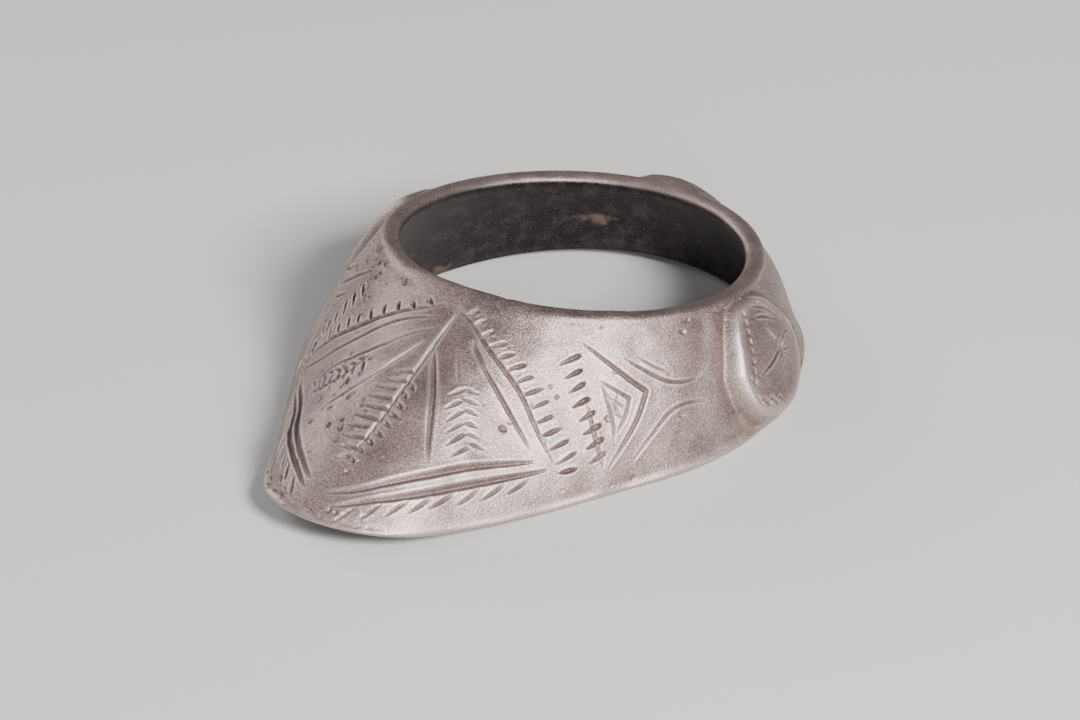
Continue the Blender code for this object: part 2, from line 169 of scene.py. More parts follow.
@dataclass
class RingForm:
    """The cast form, as the CAD solid has it, measured from the thumb hole's axis."""

    hole_front: float = 10.0
    hole_back: float = 13.1
    hole_half_width: float = 10.55
    hole_shift: float = -0.35
    rim_tongue: float = 10.65
    rim_right: float = 8.55
    rim_left: float = 8.9
    rim_back: float = 7.05
    rim_wall: float = 1.25
    rim_round: float = 0.5
    rim_crown: float = 0.11
    shoulder_drop: float = 0.2
    band_half_width: float = 15.7
    band_back: float = 17.15
    band_shift: float = -0.95
    tongue_reach: float = 26.3
    tip_radius: float = 6.95
    edge_wall: float = 1.95
    edge_round: float = 0.35
    tip_lift: float = 1.6
    tip_lift_start: float = 13.4
    back_lift: float = 0.55
    back_lift_start: float = 4.0
    boss_lift: float = 0.55
    boss_lift_angle: float = 118.0
    boss_lift_spread: float = 17.0
    tongue_top_bow: float = 4.5
    tongue_lip_bow: float = 22.0
    band_bow: float = 8.0
    tongue_handle: float = 0.17
    band_handle: float = 0.33
    tongue_root: float = 2.2
    root_upright: float = 0.8
    root_fall: float = 0.3
    boss_axis: float = 7.5
    boss_spread: float = 97.5
    left_boss_back: float = 8.5
    boss_proud: float = 0.95
    boss_far_proud: float = 0.35
    boss_bevel: float = 0.17
    boss_foot: float = 0.04
    boss_squareness: float = 2.6
    boss_taper: float = 0.45
    table: tuple[np.ndarray, np.ndarray] = field(init=False)

    def __post_init__(self) -> None:
        """Works out the lower edge's radius once, at every tenth of a degree."""
        theta = np.radians(np.arange(-1800, 1801) / 10)
        self.table = (theta, self.edge_outline(theta))

    def bosses(self) -> list[Boss]:
        """Right, left and back boss.

        Returns:
            The three bosses, set round the band by their spread.
        """
        left = self.boss_axis - self.boss_spread - self.left_boss_back
        return [
            Boss(self.boss_axis + self.boss_spread, -1, 0.02, 1.03, 19.0, 0.3),
            Boss(left, 1, 0.02, 0.97, 17.5, 0.0),
            Boss(self.boss_axis + 180, -1, -0.04, 0.93, 17.5, -0.2),
        ]

    def hole_radius(self, theta: np.ndarray) -> np.ndarray:
        """Distance to the hole's oval edge: the positive root of the line-and-ellipse quadratic.

        Args:
            theta: Angles in radians.

        Returns:
            Radius at each angle.
        """
        long_half = (self.hole_front + self.hole_back) / 2
        x, y = np.sin(theta) / self.hole_half_width, -np.cos(theta) / long_half
        cx = self.hole_shift / self.hole_half_width
        cy = (self.hole_back - self.hole_front) / 2 / long_half
        a, b, c = x * x + y * y, x * cx + y * cy, cx * cx + cy * cy - 1
        return (b + np.sqrt(b * b - a * c)) / a

    def rim_height(self, theta: np.ndarray) -> np.ndarray:
        """Height of the rim's crown at each angle."""
        return around(theta, self.rim_tongue, self.rim_right, self.rim_back, self.rim_left)

    def edge_outline(self, theta: np.ndarray) -> np.ndarray:
        """Distance to the lower edge: the least of its outline's support over the cosine.

        Args:
            theta: Angles in radians.

        Returns:
            Radius at each angle.
        """
        fan = np.radians(np.arange(-800, 801) / 10)
        phi = theta[..., None] + fan
        x, y = np.sin(phi), -np.cos(phi)
        band = self.band_shift * x + np.hypot(self.band_half_width * x, self.band_back * y)
        tip = -(self.tongue_reach - self.tip_radius) * y + self.tip_radius
        return (np.maximum(band, tip) / np.cos(fan)).min(-1)

    def edge_radius(self, theta: np.ndarray) -> np.ndarray:
        """The lower edge's radius, read between the angles of the table."""
        turned = (np.asarray(theta) + np.pi) % (2 * np.pi) - np.pi
        return np.interp(turned, *self.table)

    def edge_height(self, theta: np.ndarray) -> np.ndarray:
        """Lift of the lower edge: a square law at the tip, a 1.5 power at the back, a hump at the boss.

        Args:
            theta: Angles in radians.

        Returns:
            Height at each angle.
        """
        y = -self.edge_radius(theta) * np.cos(theta)
        tip = np.clip((-y - self.tip_lift_start) / (self.tongue_reach - self.tip_lift_start), 0, None)
        back = np.clip((y - self.back_lift_start) / (self.band_back - self.back_lift_start), 0, None)
        off_boss = turn_from(np.degrees(theta), self.boss_lift_angle) / self.boss_lift_spread
        boss = np.clip(1 - (off_boss / 2) ** 2, 0, None) ** 2
        return self.tip_lift * tip ** 2 + self.back_lift * back ** 1.5 + self.boss_lift * boss

    def handles(self, theta: np.ndarray, start: tuple, end: tuple) -> list:
        """Control points of a wall curve: its ends turned off the chord by the bow angles.

        Args:
            theta: Angles in radians.
            start: Radius and height at the top.
            end: Radius and height at the foot.

        Returns:
            Four pairs of radius and height.
        """
        run, drop = end[0] - start[0], start[1] - end[1]
        length, slope = np.hypot(run, drop), np.arctan2(drop, run)
        top = slope - np.radians(blend(theta, self.tongue_top_bow, self.band_bow))
        lip = slope + np.radians(blend(theta, self.tongue_lip_bow, self.band_bow))
        reach = length * blend(theta, self.tongue_handle, self.band_handle)
        first = (start[0] + length / 3 * np.cos(top), start[1] - length / 3 * np.sin(top))
        second = (end[0] - reach * np.cos(lip), end[1] + reach * np.sin(lip))
        return [start, first, second, end]

    def outer_curve(self, theta: np.ndarray) -> list:
        """Control points of the outer wall.

        Args:
            theta: Angles in radians.

        Returns:
            Four pairs of radius and height.
        """
        drop = self.rim_round / 2 + blend(theta, self.shoulder_drop, 0)
        shoulder = (self.hole_radius(theta) + self.rim_wall, self.rim_height(theta) - drop)
        edge = (self.edge_radius(theta), self.edge_height(theta) + self.edge_round)
        return self.handles(theta, shoulder, edge)

    def inner_curve(self, theta: np.ndarray) -> list:
        """Control points of the inner wall, upright at the tongue's root.

        Args:
            theta: Angles in radians.

        Returns:
            Four pairs of radius and height.
        """
        top = (self.hole_radius(theta), self.rim_height(theta) - self.rim_round)
        foot = (self.edge_radius(theta) - self.edge_wall, self.edge_height(theta) + self.edge_round / 2)
        start, first, second, end = self.handles(theta, top, foot)
        root = np.clip(np.cos(theta), 0, None) ** 2
        run = first[0] - (first[0] - top[0]) * root * self.root_upright
        first = (run, first[1] - self.tongue_root * root * self.root_fall)
        return [start, first, second, end]

    def rim_curve(self, theta: np.ndarray) -> list:
        """Control points of the rim: up off the inner wall, over, and into the outer slope.

        Args:
            theta: Angles in radians.

        Returns:
            Four pairs of radius and height.
        """
        outer, inner = self.outer_curve(theta), self.inner_curve(theta)
        crown = self.rim_height(theta) + self.rim_crown
        shoulder, below = outer[0], outer[1]
        slope = (shoulder[1] - below[1]) / (below[0] - shoulder[0])
        over = (shoulder[0] - (crown - shoulder[1]) / slope, crown)
        return [inner[0], (inner[0][0], crown), over, shoulder]

    def wall(self, theta: np.ndarray, share: np.ndarray) -> np.ndarray:
        """Points of the plain outer wall.

        Args:
            theta: Angles in radians.
            share: Shares down the wall.

        Returns:
            Points in a last axis of three.
        """
        return to_world(*bezier(self.outer_curve(theta), share), theta)

    def wall_normal(self, theta: np.ndarray, share: np.ndarray) -> np.ndarray:
        """Outward normals of the plain outer wall.

        Formula: the cross product of the wall's two central differences.

        Args:
            theta: Angles in radians.
            share: Shares down the wall.

        Returns:
            Unit vectors in a last axis of three.
        """
        step = 0.01
        beside = self.wall(theta + step, share) - self.wall(theta - step, share)
        down = self.wall(theta, share + step) - self.wall(theta, share - step)
        normal = np.cross(down, beside)
        return normal / np.linalg.norm(normal, axis=-1, keepdims=True)

    def boss_shape(self, theta: np.ndarray, share: np.ndarray) -> tuple[np.ndarray, np.ndarray]:
        """How far the bosses stand off the wall, and how near each point is to a boss's outline.

        Formula: a superellipse distance, 0 at the boss's middle and 1 at its outline. Its last part
        rises as a smooth step to the power of three quarters. The crown slants from the high edge
        to the low one.

        Args:
            theta: Angles in radians.
            share: Shares down the wall.

        Returns:
            Height off the plain wall, and the least superellipse distance.
        """
        total = np.zeros(np.broadcast(theta, share).shape)
        nearest = np.full(total.shape, 9.0)
        mean = (self.boss_proud + self.boss_far_proud) / 2
        half = (self.boss_proud - self.boss_far_proud) / 2
        power = self.boss_squareness
        for boss in self.bosses():
            across = turn_from(np.degrees(theta), boss.middle) / boss.half_angle
            down = (2 * share - boss.foot - boss.top) / (boss.foot - boss.top)
            taper = 1 + self.boss_taper * np.clip(-down, 0, None)
            reach = (np.abs(across * taper) ** power + np.abs(down) ** power) ** (1 / power)
            rise = np.clip((1 + self.boss_foot - reach) / (self.boss_bevel + self.boss_foot), 0, 1)
            bevel = (rise * rise * (3 - 2 * rise)) ** 0.75
            proud = (mean + half * across * boss.high_side) * (1 + boss.lean * down)
            total = total + proud * bevel
            nearest = np.minimum(nearest, reach)
        return total, nearest


class Cut(Enum):
    """How a tool left the metal."""

    GROOVE = "drawn, runs out at both ends"
    BROAD = "drawn with the graver tilted, steep on its lower side"
    LEAF = "struck, pointed where it starts and blunt where it stops"
    LENS = "struck, pointed at both ends"
    DOT = "punched round"


@dataclass(frozen=True)
class Stroke:
    """One mark: its route in degrees and shares, its width and depth in millimetres."""

    route: Route
    width: float
    depth: float
    cut: Cut = Cut.GROOVE

    def fullness(self, run: np.ndarray) -> np.ndarray:
        """How full the cut is along its run.

        Formula: a leaf swells with the run and closes with its fifth power, a lens follows the sine
        of half a turn, a dot is full throughout, and a groove follows a flatter power of the sine.

        Args:
            run: Where along the stroke, 0 to 1.

        Returns:
            Fullness, about 0 to 1.
        """
        run = np.clip(run, 0, 1)
        if self.cut is Cut.LEAF:
            return (0.12 + 0.88 * run) ** 0.75 * np.sqrt(np.clip(1 - run ** 5, 0, 1)) / 0.8
        if self.cut is Cut.LENS:
            return np.sin(np.pi * run) ** 0.8
        if self.cut is Cut.DOT:
            return np.ones(run.shape)
        return np.sin(np.pi * (0.01 + 0.98 * run)) ** 0.45

    def profile(self, reach: np.ndarray, side: np.ndarray) -> np.ndarray:
        """Depth across the cut, 1 at its lowest.

        Formula: a circle's arc for a dot, and otherwise a smooth step of the rise from the edge. A
        tilted cut has its lowest line off its middle.

        Args:
            reach: Distance from the middle line, 0 to 1 at the edge.
            side: Side of the line, -1 or 1.

        Returns:
            Share of the full depth.
        """
        if self.cut is Cut.DOT:
            return np.sqrt(np.clip(1 - reach ** 2, 0, 1))
        rise = 1 - reach
        if self.cut is Cut.BROAD:
            across = -reach * side
            rise = np.clip(np.minimum((1 + across) / 1.35, (1 - across) / 0.65), 0, 1)
        return rise * rise * (3 - 2 * rise)


class Relief:
    """Heights off the plain outer wall, at scattered angles and shares."""

    def __init__(self, form: RingForm, theta: np.ndarray, share: np.ndarray) -> None:
        """Sets up an uncut wall.

        Args:
            form: The cast form.
            theta: Angles in radians, one for each point.
            share: Shares, one for each point.
        """
        self.form = form
        self.theta, self.share, self.degrees = theta, share, np.degrees(theta)
        self.base, self.normal = form.wall(theta, share), form.wall_normal(theta, share)
        self.raised, self.boss_reach = form.boss_shape(theta, share)
        self.sunk = np.zeros(theta.shape)
        self.burr = np.zeros(theta.shape)
        self.gap = np.full(theta.shape, 9.0)

    def place(self, route: Route) -> np.ndarray:
        """Points of the plain wall under a route."""
        pairs = np.asarray(route, float)
        return self.form.wall(np.radians(pairs[:, 0]), pairs[:, 1])

    def stepped(self, pair: tuple[float, float], across: float, down: float) -> tuple[float, float]:
        """The pair a number of millimetres across and down the wall from another.

        Args:
            pair: Angle and share to start from.
            across: Millimetres round the band.
            down: Millimetres down the wall.

        Returns:
            The new angle and share.
        """
        theta = np.radians(pair[0])
        radius = bezier(self.form.outer_curve(theta), pair[1])[0]
        rise = self.place([(pair[0], pair[1] + 0.02), (pair[0], pair[1] - 0.02)])
        slant = np.linalg.norm(rise[0] - rise[1]) / 0.04
        return pair[0] + float(np.degrees(across / radius)), pair[1] + down / float(slant)

    def along(self, route: Route, parts: np.ndarray) -> np.ndarray:
        """Angles and shares at fractions of a route's length.

        Args:
            route: Angles and shares.
            parts: Fractions of its length, 0 to 1.

        Returns:
            Angles and shares in two columns.
        """
        pairs = eased(route)
        steps = np.linalg.norm(np.diff(self.place(pairs), axis=0), axis=1)
        run = np.concatenate([[0.0], np.cumsum(steps)])
        at = np.asarray(parts, float) * run[-1]
        return np.stack([np.interp(at, run, pairs[:, 0]), np.interp(at, run, pairs[:, 1])], -1)

    def at(self, route: Route, part: float) -> tuple[float, float]:
        """One angle and share at a fraction of a route's length."""
        angle, share = self.along(route, np.array([part]))[0]
        return float(angle), float(share)

    def near(self, route: Route, margin: float) -> np.ndarray:
        """Finds the points close to a route.

        Args:
            route: Angles and shares.
            margin: Millimetres round the route's box.

        Returns:
            The points' numbers.
        """
        pairs = np.asarray(route, float)
        mid = pairs.mean(0)
        far = self.stepped((mid[0], mid[1]), margin, margin)
        wide, tall = abs(far[0] - mid[0]) * 1.4, abs(far[1] - mid[1]) * 1.4
        half = (pairs[:, 0].max() - pairs[:, 0].min()) / 2 + wide
        middle = (pairs[:, 0].max() + pairs[:, 0].min()) / 2
        beside = np.abs(turn_from(self.degrees, middle)) < half
        level = (self.share > pairs[:, 1].min() - tall) & (self.share < pairs[:, 1].max() + tall)
        return np.flatnonzero(beside & level)

    def engrave(self, stroke: Stroke) -> None:
        """Cuts a stroke and raises the burr beside it.

        Formula: depth x fullness x profile, where the fullness follows the run along the route
        and the profile the distance from it, and the burr is a narrow bell just outside.

        Args:
            stroke: The mark to cut.
        """
        chosen = self.near(stroke.route, stroke.width / 2 + 0.35)
        if chosen.size == 0:
            return
        count = max(4, len(stroke.route) * 5)
        path = self.place(self.along(stroke.route, np.linspace(0, 1, count + 1)))
        a, ab = path[:-1], np.diff(path, axis=0)
        offset = self.base[chosen][:, None, :] - a
        f = np.clip((offset * ab).sum(-1) / ((ab * ab).sum(-1) + TINY), 0, 1)
        away = offset - f[..., None] * ab
        gap = np.linalg.norm(away, axis=-1)
        nearest = gap.argmin(-1)[:, None]
        distance = np.take_along_axis(gap, nearest, -1)[:, 0]
        run = (nearest[:, 0] + np.take_along_axis(f, nearest, -1)[:, 0]) / count
        way, off = ab[nearest[:, 0]], away[np.arange(len(chosen)), nearest[:, 0]]
        side = np.sign((np.cross(way, off) * self.normal[chosen]).sum(-1))
        full = stroke.fullness(run)
        half = stroke.width / 2 * full
        reach = distance / (half + TINY)
        cut = stroke.depth * full * stroke.profile(np.clip(reach, 0, 1), side)
        self.sunk[chosen] = np.maximum(self.sunk[chosen], np.where(reach < 1, cut, 0))
        if stroke.cut is not Cut.DOT:
            past = (distance - half - 0.06) / 0.08
            ridge = 0.14 * stroke.depth * full * np.exp(-past ** 2)
            self.burr[chosen] = np.maximum(self.burr[chosen], ridge)
        self.gap[chosen] = np.minimum(self.gap[chosen], distance - stroke.width / 2)

    def height(self) -> np.ndarray:
        """Raised forms and burrs, less the cuts."""
        return self.raised + np.where(self.sunk > CUT_FROM, 0, self.burr) - self.sunk


@dataclass
class Engraving:
    """The engraver's pattern: ladders, a fern, ears, borders and the bosses' marks."""

    seed: int = 7
    groove: tuple[float, float] = (0.34, 0.19)
    tick: tuple[float, float] = (0.35, 0.25)
    hatch: tuple[float, float] = (0.24, 0.15)
    border: tuple[float, float] = (0.62, 0.22)
    ladder_ticks: int = 13
    second_ticks: int = 8
    fern_barbs: int = 10
    edge_hatches: int = 8
    boss_dots: int = 8
    boss_scratches: int = 7
    rng: np.random.Generator = field(init=False)
    relief: Relief = field(init=False)

    def strokes(self, relief: Relief, form: RingForm) -> list[Stroke]:
        """Works out the whole pattern, the same each time.

        Args:
            relief: Any wall, for its distances.
            form: The cast form, for the bosses' places.

        Returns:
            All strokes.
        """
        self.rng = np.random.default_rng(self.seed)
        self.relief = relief
        strokes = self.fern() + self.tongue_lines() + self.flank(1) + self.flank(-1)
        for boss in form.bosses():
            strokes += self.boss_marks(boss)
        return strokes

    def wobble(self, size: float) -> float:
        """A hand's small error."""
        return float(self.rng.normal(0, size))

    def struck(self, root: tuple[float, float], across: float, down: float, cut: Cut = Cut.LEAF,
               size: float = 1.0) -> Stroke:
        """A struck mark from a root, with a hand's error in length, slant and depth.

        Args:
            root: Angle and share where it starts.
            across: Millimetres round the band.
            down: Millimetres down the wall.
            cut: The tool's mark.
            size: Width and depth against the usual tick.

        Returns:
            The stroke.
        """
        start = self.relief.stepped(root, self.wobble(0.05), self.wobble(0.04))
        tip = self.relief.stepped(root, across * (1 + self.wobble(0.09)), down + self.wobble(0.06))
        width, depth = self.tick
        width *= size * (1 + self.wobble(0.1))
        return Stroke([start, tip], width, depth * size * (1 + self.wobble(0.16)), cut)

    def ladder(self, side: int, route: Route) -> list[Stroke]:
        """A guide line with its row of ticks on the rim's side, longer towards the tip.

        Args:
            side: 1 on the right, -1 on the left.
            route: The guide line.

        Returns:
            The strokes.
        """
        width, depth = self.groove
        strokes = [Stroke(route, width * (1.0 if side > 0 else 1.45), depth)]
        for k in range(self.ladder_ticks):
            part = 0.05 + 0.95 * k / (self.ladder_ticks - 1)
            length = 0.75 + 0.5 * min(1.0, 1.6 * part)
            cut = Cut.LENS if k % 3 == 1 else Cut.LEAF
            strokes.append(self.struck(self.relief.at(route, part), side * length, -0.42, cut))
        return strokes

    def second_row(self, side: int, route: Route) -> list[Stroke]:
        """Deeper, blunter ticks, with a line through their lower half.

        Args:
            side: 1 on the right, -1 on the left.
            route: Line through the ticks' roots.

        Returns:
            The strokes.
        """
        start = self.relief.stepped(self.relief.at(route, 0.42), side * 0.9, 0)
        end = self.relief.stepped(self.relief.at(route, 1.0), side * 0.85, 0.5)
        strokes = [Stroke([start, end], *self.groove)]
        for k in range(self.second_ticks):
            root = self.relief.at(route, k / (self.second_ticks - 1))
            size = 1.2 + 0.2 * k / self.second_ticks
            strokes.append(self.struck(root, side * 1.2, -0.42, Cut.LEAF, size))
        return strokes

    def fern(self) -> list[Stroke]:
        """The tongue's middle leaf: a spine and barbs that are longest above its middle.

        Returns:
            The strokes.
        """
        spine = [(3, 0.04), (2.6, 0.25), (2.5, 0.45), (1.2, 0.68)]
        strokes = [Stroke(spine, self.groove[0], self.groove[1] * 1.2)]
        for k in range(self.fern_barbs):
            part = k / (self.fern_barbs - 1)
            root = self.relief.at(spine, 0.41 + 0.56 * part)
            left = 1.85 * np.sin(np.pi * (0.2 + 0.66 * part)) ** 0.9
            right = 0.95 * np.sin(np.pi * (0.26 + 0.58 * part))
            outer = self.relief.stepped(root, -left, 0.3)
            strokes.append(self.struck(outer, left, -0.3, Cut.LEAF, 1.15))
            if k:
                strokes.append(self.struck(root, right, 0.62 - 0.3 * part, Cut.LENS, 1.05))
        return strokes

    def ear(self, side: int, route: Route, count: int) -> list[Stroke]:
        """An ear of wheat: nested chevrons that point to the rim.

        Args:
            side: 1 on the right, -1 on the left.
            route: Line through the chevrons' peaks.
            count: Number of chevrons.

        Returns:
            The strokes.
        """
        strokes = []
        for k in range(count):
            peak = self.relief.at(route, k / (count - 1))
            for way in (-1, 1):
                foot = self.relief.stepped(peak, way * 0.8, 0.55 - 0.17 * way * side)
                strokes.append(self.struck(foot, -way * 0.8, -0.55 + 0.17 * way * side, Cut.LEAF, 0.85))
        return strokes

    def edge_hatching(self, side: int, route: Route) -> list[Stroke]:
        """Slanting hatches between the border and the lower edge.

        Args:
            side: 1 on the right, -1 on the left.
            route: The border above them.

        Returns:
            The strokes.
        """
        strokes = []
        width, depth = self.hatch
        for k in range(self.edge_hatches):
            part = k / (self.edge_hatches - 1)
            start = self.relief.stepped(self.relief.at(route, 0.12 + 0.8 * part), 0, 0.32)
            across = 0.85 + 0.55 * part + self.wobble(0.06)
            down = 1.5 - 0.65 * part + self.wobble(0.08)
            tip = self.relief.stepped(start, -side * across, down)
            deep = depth * (1.3 + self.wobble(0.2))
            strokes.append(Stroke([start, tip], width * 1.15, deep, Cut.LENS))
        return strokes

    def tongue_lines(self) -> list[Stroke]:
        """Borders, ladders, ears and field lines of the tongue.

        Returns:
            The strokes.
        """
        upper = [(1, 0.83), (5.5, 0.775), (8.5, 0.725), (13.3, 0.675), (20, 0.65), (30.2, 0.68)]
        lower = [(2.5, 0.89), (7.3, 0.815), (14.3, 0.755), (22.3, 0.735), (33, 0.74)]
        left_upper = [(-37, 0.75), (-26, 0.72), (-15, 0.69), (-8, 0.725), (-2.5, 0.8)]
        left_lower = [(-34, 0.79), (-23, 0.77), (-12, 0.74), (-6.2, 0.785), (-2.6, 0.85)]
        right_guide = [(3, 0.03), (10.7, 0.08), (22, 0.26), (27, 0.38), (30.7, 0.55), (34.5, 0.72)]
        left_guide = [(-2.2, 0.03), (-13, 0.12), (-24.5, 0.28), (-37, 0.52), (-44.7, 0.88)]
        strokes = self.ladder(1, right_guide) + self.ladder(-1, left_guide)
        strokes.append(self.struck((35, 0.78), 1.15, -0.12, Cut.LENS, 1.15))
        strokes += self.ear(1, [(14.3, 0.33), (16, 0.45), (18, 0.56)], 6)
        strokes += self.ear(-1, [(-11.5, 0.34), (-17.5, 0.46), (-22.5, 0.59)], 8)
        for route in (upper, lower, left_upper, left_lower):
            strokes.append(Stroke(route, *self.border, Cut.BROAD))
        strokes += self.edge_hatching(1, lower) + self.edge_hatching(-1, left_lower[::-1])
        fields = (
            [(0.5, 0.18), (-3, 0.26), (-5.7, 0.36), (-10.5, 0.52), (-12.7, 0.61)],
            [(1, 0.12), (-6, 0.19), (-10.2, 0.28), (-16, 0.36), (-22, 0.5), (-24, 0.64)],
            [(-11, 0.31), (-13, 0.42), (-17, 0.53), (-22.5, 0.63)],
            [(13.8, 0.19), (18.3, 0.28), (23.8, 0.42), (29.5, 0.62)],
            [(11.5, 0.14), (16.8, 0.24)],
            [(-0.8, 0.08), (-10.2, 0.14), (-18, 0.26), (-27.8, 0.46), (-38.5, 0.74)],
        )
        strokes += [Stroke(route, *self.groove) for route in fields]
        strokes.append(Stroke([(2.8, 0.19), (8.3, 0.33), (10.9, 0.48), (12.9, 0.63)], 0.5, 0.2))
        strokes.append(Stroke([(9, 0.18), (12.7, 0.31)], 0.2, 0.07))
        strokes.append(Stroke([(23.2, 0.497), (23.5, 0.503)], 0.4, 0.13, Cut.DOT))
        return strokes

    def flank(self, side: int) -> list[Stroke]:
        """Strokes between the tongue and a side boss.

        Args:
            side: 1 on the right, -1 on the left.

        Returns:
            The strokes.
        """
        row = [(35.2, 0.23), (38.3, 0.42), (40.8, 0.58), (42.2, 0.77)]
        chevron = [(41.8, 0.12), (47, 0.2), (59, 0.43), (59, 0.43), (55.5, 0.57), (51, 0.7), (46.5, 0.83)]
        routes = (
            [(46.2, 0.33), (53.8, 0.45), (53.8, 0.45), (52, 0.55), (49.2, 0.64)],
            [(46.5, 0.35), (48, 0.47), (48.7, 0.6), (48.4, 0.68)],
            [(54, 0.22), (61, 0.33), (66.2, 0.41), (73.3, 0.44), (78, 0.41)],
            [(52.5, 0.84), (57.8, 0.71), (64, 0.59), (69.7, 0.56), (77.5, 0.6)],
            [(58, 0.22), (63, 0.3), (67, 0.35)],
            [(48.5, 0.43), (52.2, 0.5)], [(50.8, 0.4), (48.8, 0.53)], [(49, 0.51), (51.3, 0.56)],
            [(47.6, 0.4), (50.8, 0.55)],
        )
        strokes = self.second_row(side, [(side * angle, share) for angle, share in row])
        line = [(side * angle, share) for angle, share in chevron]
        strokes.append(Stroke(line, self.groove[0] * 1.15, self.groove[1]))
        for k, route in enumerate(routes):
            turned = [(side * angle, share) for angle, share in route]
            strokes.append(Stroke(turned, self.hatch[0] * (1.1 if k < 4 else 0.6), self.hatch[1]))
        strokes.append(Stroke([(side * 47.2, 0.535), (side * 47.4, 0.545)], 0.34, 0.1, Cut.DOT))
        return strokes

    def zigzag(self, route: Route, height: float, turns: int) -> Route:
        """A route that steps up and down across another, with sharp corners.

        Args:
            route: Angles and shares to follow.
            height: How far it steps off the route, in shares.
            turns: Number of corners.

        Returns:
            The zigzag's corners, each given twice.
        """
        pairs = np.asarray(route, float)
        at = np.linspace(0, len(pairs) - 1, turns)
        angle = np.interp(at, np.arange(len(pairs)), pairs[:, 0])
        share = np.interp(at, np.arange(len(pairs)), pairs[:, 1])
        share = share + height / 2 * (-1.0) ** np.arange(turns)
        return [(float(a), float(s)) for a, s in zip(angle, share) for _ in range(2)]

    def boss_marks(self, boss: Boss) -> list[Stroke]:
        """A column of dots, a star, a zigzag, border arcs and loose scratches on a boss's face.

        Args:
            boss: The boss.

        Returns:
            The strokes.
        """
        way = boss.high_side
        width, depth = self.hatch
        strokes = []
        for k in range(self.boss_dots):
            share = 0.14 + 0.54 * k / self.boss_dots
            angle = boss.middle + way * (5.5 + 9.0 * k / self.boss_dots)
            strokes.append(Stroke([(angle, share - 0.006), (angle, share + 0.006)], 0.38, 0.08, Cut.DOT))
        faces = (
            [(10, 0.6), (0, 0.585), (-11, 0.5)],
            [(-1, 0.34), (-3.5, 0.5)],
            [(-1, 0.05), (-6, 0.11), (-11, 0.22), (-14.5, 0.38), (-15, 0.55), (-12.5, 0.7)],
            [(0, 0.12), (-6, 0.2), (-10, 0.32), (-12, 0.45)],
            [(1.5, 0.21), (-4.5, 0.27), (-8.5, 0.36)],
            self.zigzag([(15.5, 0.7), (13, 0.77), (9, 0.82), (4.5, 0.88)], 0.05, 9),
        )
        for route in faces:
            strokes.append(Stroke([(boss.middle + way * a, s) for a, s in route], width, depth))
        middle = (boss.middle - way * 4.5, 0.6)
        for k in range(6):
            turn = np.pi * (0.1 + k / 6)
            reach = (0.95 * np.cos(turn), 0.95 * np.sin(turn))
            tips = [self.relief.stepped(middle, s * reach[0], s * reach[1]) for s in (-1, 1)]
            strokes.append(Stroke(tips, width * 0.9, depth, Cut.LENS))
        for _ in range(self.boss_scratches):
            start = (boss.middle + way * (self.wobble(4.5) - 3), 0.42 + self.wobble(0.17))
            end = self.relief.stepped(start, 0.5 + self.wobble(0.3), self.wobble(0.5))
            strokes.append(Stroke([start, end], width * 0.7, depth * 0.5, Cut.LENS))
        return strokes


def plane_waves(points: np.ndarray, wavelength: float, count: int, rng: np.random.Generator) -> np.ndarray:
    """Smooth noise: the mean of sine waves with random directions and phases, about -1 to 1.

    Args:
        points: Points in a last axis of three, in millimetres.
        wavelength: Mean wavelength in millimetres.
        count: Number of waves.
        rng: Source of directions and phases.

    Returns:
        One value a point.
    """
    directions = rng.normal(size=(count, 3))
    directions *= 2 * np.pi / wavelength / np.linalg.norm(directions, axis=1, keepdims=True)
    directions *= rng.uniform(0.6, 1.6, size=(count, 1))
    phases = rng.uniform(0, 2 * np.pi, count)
    total = np.zeros(points.shape[:-1])
    for direction, phase in zip(directions, phases):
        total += np.sin(points @ direction + phase)
    return total / np.sqrt(count / 2)


